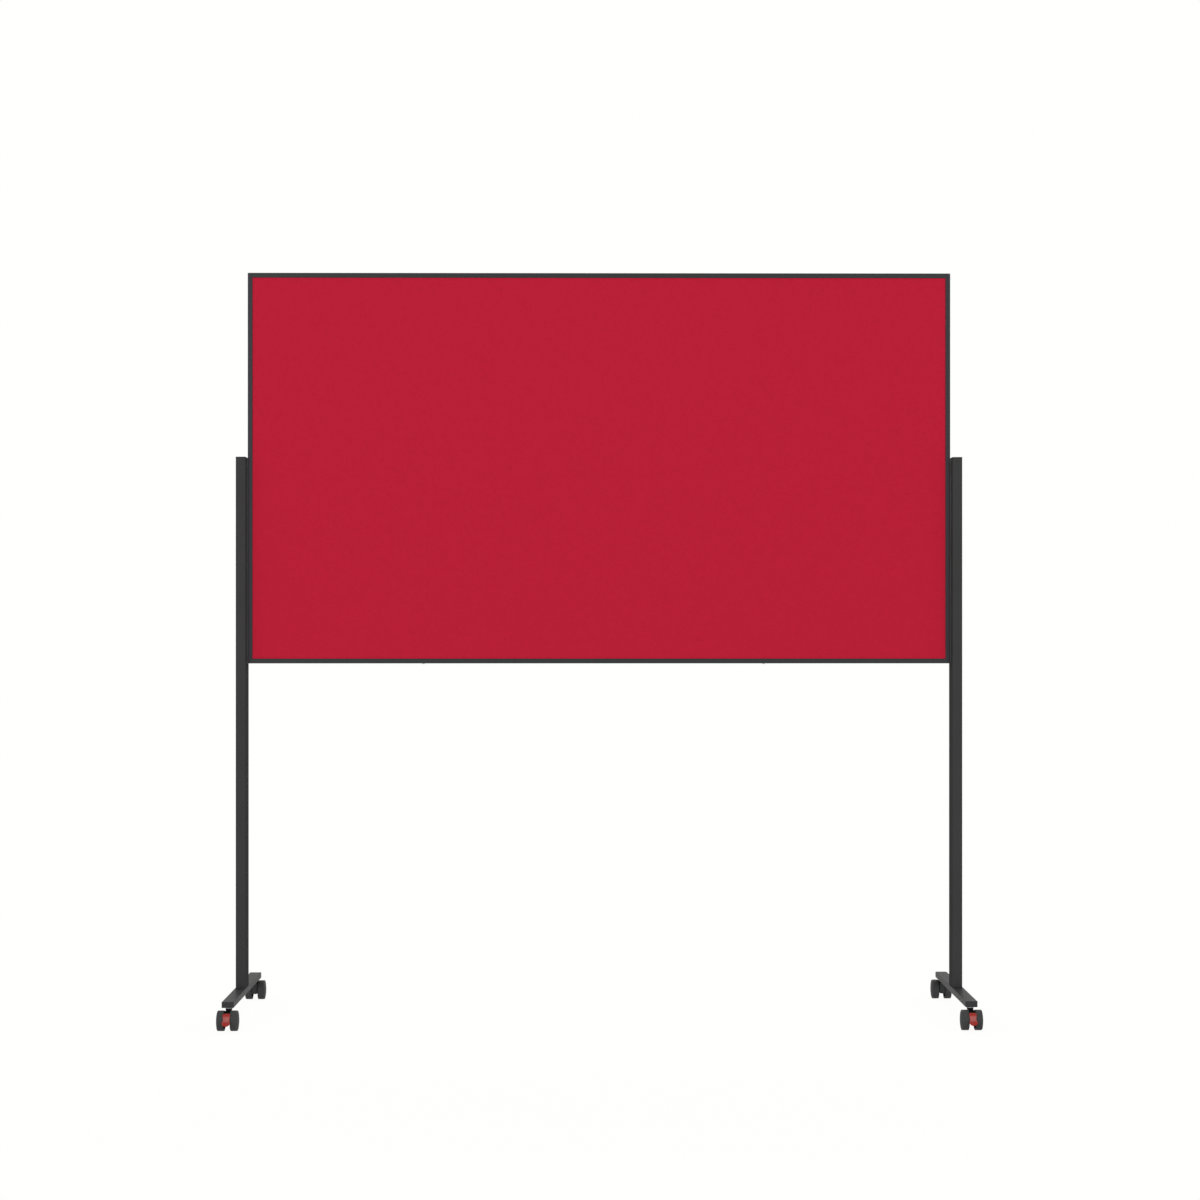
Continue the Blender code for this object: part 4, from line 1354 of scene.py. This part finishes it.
@dataclass
class CasterBody(CasterPart):
    """A caster's stem and its turning body: a web between the wheels with a hood, ears and a neck."""

    pin: float = 0.004
    collar: float = 0.005
    collar_low: float = 0.055
    collar_high: float = 0.056
    chamfer: float = 0.0002
    width: float = 0.0126
    low: float = 0.020
    corner: float = 0.003
    front: float = 0.0165
    rim: float = 0.0007
    ear: float = 0.005
    hood_drop: float = 0.0008
    # Height where the hood's painted shade begins.
    hood_line: float = 0.0445
    neck_radius: float = 0.00835
    neck_base: float = 0.0502
    neck_top: float = 0.0547
    neck_depth: float = 0.0053
    # Height where the neck's painted light begins.
    neck_line: float = 0.0477
    neck_soft: float = 0.0004
    washer: float = 0.0019
    washer_radius: float = 0.0081
    washer_soft: float = 0.0003
    washer_lift: float = 0.0001
    slot: float = 0.0032
    slot_front: float = 0.005
    slot_back: float = 0.0037
    slot_drop: float = 0.0058
    pin_hole: float = 0.00215
    axle_hole: float = 0.00315
    stem_hole: float = 0.0043
    stem_hole_ends: Pair = (0.0344, 0.06)

    def build(self) -> None:
        """Make the stem, the body and the washer."""
        self.stem()
        self.housing()
        self.neck_washer()

    def stem(self) -> None:
        """Make the stem with its collar."""
        node = f"caster_stem_{self.place}"
        low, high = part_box(node)
        pin, collar, edge, point = self.pin, self.collar, self.chamfer, 2 * self.chamfer
        under, over = self.collar_low, self.collar_high
        profile = [
            (0.0, high.z), (pin - point, high.z), (pin, high.z - point), (pin, over),
            (collar - edge, over), (collar, over - edge), (collar, under + edge), (collar - edge, under),
            (pin, under), (pin, low.z + point), (pin - point, low.z), (0.0, low.z),
        ]
        shape = Shape.turned(profile, steps=48).moved(self.stance())
        Fitting("stand", Finishes.ZINC, (node,)).fit(shape, f"stem_{self.place}")

    def web(self) -> Shape:
        """Model the web between the wheels, with the hood over it and the ears for the pedal.

        Returns:
            The web, without its holes.
        """
        half, front = self.neck_radius, -(self.trail + self.front)
        points = [(half, self.neck_base), (-half, self.neck_base)]
        points += arc(self.axle, self.radius - self.hood_drop, 75, 118, 14)
        points += arc(self.pivot, self.ear, 100, 190, 12)
        points += arc((front + self.corner, self.low), self.corner, 180, 270, 6)
        points += arc((half - self.corner, self.low), self.corner, 270, 360, 6)
        web = Shape.outline(points, self.width)
        return web.rounded(web.rims(Axis.X), self.rim)

    def neck(self) -> Shape:
        """Model the neck, with its upper edge softened.

        Returns:
            The neck.
        """
        soft, high, low = self.neck_soft, self.neck_top - self.washer, self.neck_top - self.neck_depth
        profile = [(0.0, high), (self.neck_radius - soft, high)]
        profile += bend((self.neck_radius - soft, high - soft), (soft, soft), (68, 45, 22, 0))
        profile += [(self.neck_radius, low), (0.0, low)]
        return Shape.turned(profile)

    def housing(self) -> None:
        """Make the body of web and neck, with the pedal's slot and the holes for pin, axle and stem."""
        web = self.web().join(self.neck(), Join.ADD)
        across, up = self.pivot
        slot_low = (-self.slot, -(self.trail + self.front) - self.slot_front, up - self.slot_drop)
        slot_high = (self.slot, across + self.slot_back, self.neck_base + OVERRUN)
        web.join(Shape.block(slot_low, slot_high), Join.CUT)
        reach = (-self.width, self.width)
        web.join(Shape.rod(self.pin_hole, reach, Axis.X, (0, *self.pivot)), Join.CUT)
        web.join(Shape.rod(self.axle_hole, reach, Axis.X, (0, *self.axle)), Join.CUT)
        web.join(Shape.rod(self.stem_hole, self.stem_hole_ends, Axis.Z, (0, 0, 0)), Join.CUT)
        self.divide(web)
        fitting = Fitting(f"caster_{self.place}", Finishes.NYLON, (f"caster_body_{self.place}",))
        piece = fitting.fit(web.moved(self.stance()), f"housing_{self.place}")
        # Add the hood's painted shade and the neck's painted light as the body's second and third
        # materials.
        for finish in (Finishes.HOOD, Finishes.NECK):
            piece.data.materials.append(finish.material())

    def divide(self, web: Shape) -> None:
        """Split the body at the lower edges of the hood's painted shade and the neck's painted light, and
        number the faces' finishes.

        Args:
            web: The body, in the caster's own frame.
        """
        for line in (self.hood_line, self.neck_line):
            parts = list(web.mesh.verts) + list(web.mesh.edges) + list(web.mesh.faces)
            bmesh.ops.bisect_plane(
                web.mesh, geom=parts, dist=WELD, plane_co=(0, 0, line), plane_no=Axis.Z.unit
            )
        # Faces round the neck take the painted light, and faces over the hood line take the painted shade.
        for face in web.mesh.faces:
            centre = face.calc_center_median()
            in_neck = centre.xy.length < self.neck_radius + self.neck_soft
            if in_neck and centre.z > self.neck_line + WELD:
                face.material_index = Zone.NECK.value
            elif centre.z > self.hood_line + WELD:
                face.material_index = Zone.HOOD.value
            else:
                face.material_index = Zone.WEB.value

    def neck_washer(self) -> None:
        """Make the washer that lies on the neck, round the stem."""
        bore, out, soft = self.stem_hole, self.washer_radius, self.washer_soft
        low, high = self.neck_top - self.washer + self.washer_lift, self.neck_top
        profile = [(bore, low), (out - soft, low), (out, low + soft)]
        profile += [(out, high - soft), (out - soft, high), (bore, high)]
        ring = Shape.turned(profile, closed=True).moved(self.stance())
        Fitting(f"caster_{self.place}", Finishes.ZINC).fit(ring, f"neck_washer_{self.place}")


@dataclass
class CasterWheels(CasterPart):
    """A caster's two wheels, each a tyre on a domed disc, and their axle."""

    gap: float = 0.0156
    outer: float = 0.0272
    dome: float = 0.0022
    shoulder: float = 0.0022
    fall: float = 0.0016
    edge: float = 0.0009
    swell: float = 0.0001
    seat: float = 0.0215
    seam: float = 0.0003
    lap: float = 0.0012
    # The disc's section: radius and depth under its domed side, then radius and height over the gap's side.
    disc_front: tuple[Pair, ...] = (
        (0.0, 0.0), (0.003, 0.00003), (0.0062, 0.00012), (0.0066, 0.0006), (0.0070, 0.0006),
        (0.0074, 0.00017), (0.0126, 0.00052), (0.0170, 0.00100), (0.0205, 0.00155), (0.0214, 0.0021),
    )
    disc_back: tuple[Pair, ...] = (
        (0.0214, 0.0012), (0.0200, 0.0008), (0.0190, 0.0040), (0.0095, 0.0040), (0.0080, 0.0),
        (0.0065, 0.0), (0.0065, -0.0012), (0.00315, -0.0012),
    )
    bore: float = 0.00315
    bore_end: float = 0.0227

    def build(self) -> None:
        """Make both wheels and dress the axle."""
        for role in Role:
            self.wheel(role)
        redress([f"caster_axle_{self.place}"], Finishes.ZINC)

    def tyre_profile(self) -> list[Pair]:
        """List the tyre's section.

        Returns:
            Radius and distance from the caster's middle of each point.
        """
        rim, inner, edge = self.outer - self.dome, self.gap / 2, self.edge
        crown = rim - self.shoulder
        profile = [(self.seat, inner + self.lap), (self.radius - edge, inner)]
        profile += bend((self.radius - edge, inner + edge), (edge, edge), (-60, -30, 0))
        profile += [(self.radius + self.swell, (inner + crown) / 2), (self.radius, crown)]
        profile += bend((self.radius - self.fall, crown), (self.fall, self.shoulder), range(15, 105, 15))
        profile += [(self.seat + self.seam, rim + self.swell), (self.seat, rim - self.seam)]
        return profile

    def disc_profile(self) -> list[Pair]:
        """List the wheel disc's section from the middle of its domed side to its blind bore.

        Returns:
            Radius and distance from the caster's middle of each point.
        """
        profile = [(radius, self.outer - depth) for radius, depth in self.disc_front]
        profile += [(radius, self.gap / 2 + height) for radius, height in self.disc_back]
        return profile + [(self.bore, self.bore_end), (0.0, self.bore_end)]

    def wheel(self, role: Role) -> None:
        """Make one wheel: a tyre on a disc.

        Args:
            role: Which of the caster's wheels it is.
        """
        low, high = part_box(f"caster_axle_{self.place}")
        way = self.side.value * role.value
        turn = Matrix.Translation((low + high) / 2) @ Matrix.Rotation(way * pi / 2, 4, "Y")
        node = f"wheel_{self.place}_{role.word}"
        body = f"{role.word}_wheel_{self.place}"
        tyre = Shape.turned(self.tyre_profile(), steps=96, closed=True).moved(turn)
        Fitting(body, Finishes.TREAD, (node,)).fit(tyre, f"tyre_{self.place}_{role.word}")
        disc = Shape.turned(self.disc_profile(), steps=72).moved(turn)
        Fitting(body, Finishes.NYLON).fit(disc, f"wheel_disc_{self.place}_{role.word}")


@dataclass
class BrakePedal(CasterPart):
    """A caster's brake pedal: a bent plate in front of the treads, its tongue and its pin."""

    thickness: float = 0.0024
    clearance: float = 0.0005
    flare: float = 0.009
    widest: float = 0.0099
    hollow: float = 0.0003
    top: float = 47.0
    top_arch: float = 5.0
    lip: float = -15.0
    lip_arch: float = 8.0
    columns: int = 14
    steps: int = 44
    rim: float = 0.0007
    rim_angle: float = 50.0
    tongue: float = 0.0058
    tongue_rim: float = 0.0004
    boss: float = 0.0034
    pin: float = 0.002
    pin_ends: Pair = (-0.0058, 0.0058)
    # The plate's rows: share of its length, share of the flare, and half its width.
    rows: tuple[Triple, ...] = (
        (0.00, 0.00, 0.0086), (0.07, 0.05, 0.0091), (0.15, 0.05, 0.0090), (0.25, 0.03, 0.0087),
        (0.35, 0.00, 0.0083), (0.45, -0.03, 0.0079), (0.56, -0.04, 0.0076), (0.66, 0.02, 0.0077),
        (0.72, 0.20, 0.0080), (0.77, 0.46, 0.0083), (0.82, 0.74, 0.0089), (0.87, 0.93, 0.0097),
        (0.93, 1.00, 0.0099), (1.00, 0.93, 0.0091),
    )
    # Shares of the plate's length where the tongue meets it.
    tongue_rows: tuple[float, ...] = (0.18, 0.24, 0.30, 0.37, 0.44)

    def build(self) -> None:
        """Make the plate and its lever."""
        self.plate()
        self.lever()

    def row(self, along: float) -> Pair:
        """Read the plate at a share of its length, eased between the rows.

        Args:
            along: The share of its length, from its top edge.

        Returns:
            Its outer radius from the axle and half its width.
        """
        index = max(number for number, row in enumerate(self.rows[:-1]) if row[0] <= along)
        numbers = (max(index - 1, 0), index, index + 1, min(index + 2, len(self.rows) - 1))
        share = (along - self.rows[index][0]) / (self.rows[index + 1][0] - self.rows[index][0])
        cube, square = share ** 3, share ** 2
        values = []
        for part in (1, 2):
            before, start, stop, after = (self.rows[number][part] for number in numbers)
            leave, reach = (stop - before) / 2, (after - start) / 2
            values.append(
                start * (2 * cube - 3 * square + 1) + leave * (cube - 2 * square + share)
                + stop * (3 * square - 2 * cube) + reach * (cube - square)
            )
        out = self.radius + self.clearance + self.thickness + values[0] * self.flare
        return out, min(values[1], self.widest)

    def angle(self, along: float, across: float) -> float:
        """Return the plate's angle about the axle, arched across at its top edge and its lip."""
        top, lip = self.top - self.top_arch * across ** 4, self.lip + self.lip_arch * across ** 2
        return top + along * (lip - top)

    def plate(self) -> None:
        """Make the bent plate."""
        plate = Shape()
        bmesh.ops.create_grid(plate.mesh, x_segments=self.columns, y_segments=self.steps, size=1.0)
        for vertex in plate.mesh.verts:
            across, along = vertex.co.x, (1 - vertex.co.y) / 2
            out, half = self.row(min(max(along, 0.0), 1.0))
            hollow = self.hollow * (1 - across ** 2) * sin(pi * along)
            y, z = self.around(out - hollow, self.angle(along, across))
            vertex.co = (across * half, y, z)
        plate.mesh.normal_update()
        plate.mesh.faces.ensure_lookup_table()
        middle = plate.mesh.faces[len(plate.mesh.faces) // 2]
        away = middle.calc_center_median() - Vector((0, *self.axle))
        if middle.normal.dot(away) < 0:
            bmesh.ops.reverse_faces(plate.mesh, faces=plate.mesh.faces)
        fitting = Fitting(
            f"pedal_{self.place}", Finishes.PEDAL, (f"brake_pedal_{self.place}",), self.rim_angle
        )
        piece = fitting.fit(plate.moved(self.stance()), f"pedal_plate_{self.place}")
        shell = piece.modifiers.new("thickness", "SOLIDIFY")
        shell.thickness, shell.offset, shell.use_even_offset = self.thickness, -1.0, True
        soft = piece.modifiers.new("soft rim", "BEVEL")
        soft.width, soft.segments = self.rim, 3
        soft.limit_method, soft.angle_limit = "ANGLE", radians(self.rim_angle)
        piece.modifiers.move(0, len(piece.modifiers) - 1)

    def lever(self) -> None:
        """Make the tongue that carries the plate, and its pin between the ears."""
        points: list[Pair] = []
        for along in self.tongue_rows:
            out = self.row(along)[0]
            points.append(self.around(out - self.thickness / 2, self.angle(along, 0)))
        low, high = (Vector(points[number]) - Vector(self.pivot) for number in (-1, 0))
        start = low.angle_signed(Vector((1, 0))) * 180 / pi % 360 + 90
        stop = high.angle_signed(Vector((1, 0))) * 180 / pi % 360 + 270
        points += arc(self.pivot, self.boss, start, stop, 16)
        tongue = Shape.outline(points, self.tongue)
        tongue.rounded(tongue.rims(Axis.X), self.tongue_rim, RIM_STEPS)
        pin = Shape.rod(self.pin, self.pin_ends, Axis.X, (0, *self.pivot), steps=40)
        shape = tongue.beside(pin).moved(self.stance())
        Fitting(f"pedal_{self.place}", Finishes.PEDAL).fit(shape, f"pedal_lever_{self.place}")


@dataclass(frozen=True)
class Lamp:
    """A soft square lamp that faces the middle of the pinboard."""

    name: str
    place: Triple
    power: float
    size: float = 2.8
    target: Triple = (0.0, 0.0, 0.95)

    def hang(self) -> None:
        """Hang the lamp."""
        data = bpy.data.lights.new(self.name, "AREA")
        data.shape, data.size, data.energy = "SQUARE", self.size, self.power
        lamp = bpy.data.objects.new(self.name, data)
        bpy.context.scene.collection.objects.link(lamp)
        lamp.location = self.place
        aim = Vector(self.target) - Vector(self.place)
        lamp.rotation_euler = aim.to_track_quat("-Z", "Y").to_euler()


@dataclass
class Studio:
    """A white room: floor, soft light from above and from the front, lamps, and the photograph's camera."""

    lens: float = 71.30
    sensor: float = 36.0
    stand: Triple = (-0.0407, -6.1012, 0.9990)
    turn_right: float = 0.399
    horizon: float = 624.76
    overhead: float = 0.66
    level: float = 0.5
    front: float = 0.95
    front_focus: float = 8.0
    floor_half: float = 9.0
    floor_drop: float = 0.0003
    floor_colour: tuple[float, float, float, float] = (0.88, 0.88, 0.87, 1.0)
    floor_glow: float = 0.93
    near: float = 1.2
    far: float = 3.0
    near_gain: float = 1.023
    white: tuple[float, float, float, float] = (1.0, 1.0, 0.982, 1.0)
    lamps: tuple[Lamp, ...] = (
        Lamp("lamp_left", (-3.6, -5.6, 2.5), 64.0),
        Lamp("lamp_right", (3.8, -5.4, 2.4), 52.0),
        Lamp("lamp_back", (0.4, 3.6, 3.8), 60.0),
    )

    def build(self) -> None:
        """Make the floor, the world, the lamps and the camera."""
        self.floor()
        self.world()
        for lamp in self.lamps:
            lamp.hang()
        self.camera()
        bpy.context.scene.view_settings.view_transform = "Standard"

    def floor(self) -> None:
        """Make a white floor that keeps a faint shadow round the pinboard."""
        mesh = bpy.data.meshes.new("studio_floor")
        sheet = bmesh.new()
        bmesh.ops.create_grid(sheet, x_segments=2, y_segments=2, size=self.floor_half)
        bmesh.ops.translate(sheet, vec=(0, 0, -self.floor_drop), verts=sheet.verts)
        sheet.to_mesh(mesh)
        sheet.free()
        floor = bpy.data.objects.new("studio_floor", mesh)
        bpy.context.scene.collection.objects.link(floor)
        mesh.materials.append(self.floor_paint())

    def floor_paint(self) -> bpy.types.Material:
        """Build the floor's material: matte for light that falls on it, and glowing white where it is seen.

        Returns:
            The material.
        """
        paint = bpy.data.materials.new("studio_white")
        paint.use_nodes = True
        tree = paint.node_tree
        tree.nodes.remove(tree.nodes["Principled BSDF"])
        graph = Graph(tree)
        matte = graph.feed(graph.add("BsdfDiffuse"), Color=self.floor_colour)
        glow = graph.feed(graph.add("Emission"), Color=self.white)
        reach = graph.add("VectorMath", operation="LENGTH")
        graph.plug(reach.inputs[0], graph.add("TexCoord").outputs["Object"])
        spread = graph.add("MapRange")
        graph.feed(spread, Value=reach.outputs["Value"], From_Min=self.near, From_Max=self.far)
        share = spread.outputs["Result"]
        graph.feed(glow, Strength=graph.between(share, self.near_gain, 1.0))
        seen = graph.math("MULTIPLY", self.seen(graph), graph.between(share, self.floor_glow, 1.0))
        graph.plug(tree.nodes["Material Output"].inputs[0], graph.blend_shaders(seen, matte, glow))
        return paint

    def seen(self, graph: Graph) -> Socket:
        """Tell the rays that see a surface from those that only carry its light.

        Args:
            graph: The graph to lay the nodes in.

        Returns:
            A socket that is 1 for camera, glossy and transmission rays and 0 for others.
        """
        path = graph.add("LightPath")
        mirror = graph.math("MAXIMUM", path.outputs["Is Glossy Ray"], path.outputs["Is Transmission Ray"])
        return graph.math("MAXIMUM", path.outputs["Is Camera Ray"], mirror)

    def world(self) -> None:
        """Make a white surround that lights the pinboard at a plain level, more from above and in front."""
        world = bpy.data.worlds.new("studio")
        bpy.context.scene.world = world
        world.use_nodes = True
        graph = Graph(world.node_tree)
        for node in list(world.node_tree.nodes):
            world.node_tree.nodes.remove(node)
        output = graph.add("OutputWorld")
        way = graph.feed(graph.add("SeparateXYZ"), Vector=graph.add("TexCoord").outputs["Generated"])
        rise = graph.between(way.outputs["Z"], self.level, self.overhead)
        ahead = graph.math("MAXIMUM", graph.math("MULTIPLY", way.outputs["Y"], -1.0), 0.0)
        panel = graph.math("MULTIPLY", graph.math("POWER", ahead, self.front_focus), self.front)
        strength = graph.math("ADD", rise, panel)
        light = graph.feed(graph.add("Background"), Color=(1.0, 1.0, 1.0, 1.0), Strength=strength)
        white = graph.feed(graph.add("Background"), Color=self.white, Strength=1.0)
        graph.plug(output.inputs[0], graph.blend_shaders(self.seen(graph), light, white))

    def camera(self) -> None:
        """Set the camera where the photograph was taken from."""
        data = bpy.data.cameras.new("camera")
        data.lens, data.sensor_width = self.lens, self.sensor
        data.shift_y = (self.horizon - PICTURE / 2) / PICTURE
        camera = bpy.data.objects.new("camera", data)
        bpy.context.scene.collection.objects.link(camera)
        camera.location = self.stand
        camera.rotation_euler = (pi / 2, 0.0, -radians(self.turn_right))
        bpy.context.scene.camera = camera


def main() -> None:
    """Build the pinboard and its studio."""
    logging.basicConfig(level=logging.INFO, format="%(name)s: %(message)s")
    parts: list[object] = [FeltPanel(), BoardFrame()]
    for side in Side:
        parts += [Post(side), Foot(side)]
        for end in End:
            parts += [CasterBody(side, end), CasterWheels(side, end), BrakePedal(side, end)]
    parts.append(Studio())
    for part in parts:
        LOG.info("building %s", type(part).__name__)
        part.build()


if __name__ == "__main__":
    main()
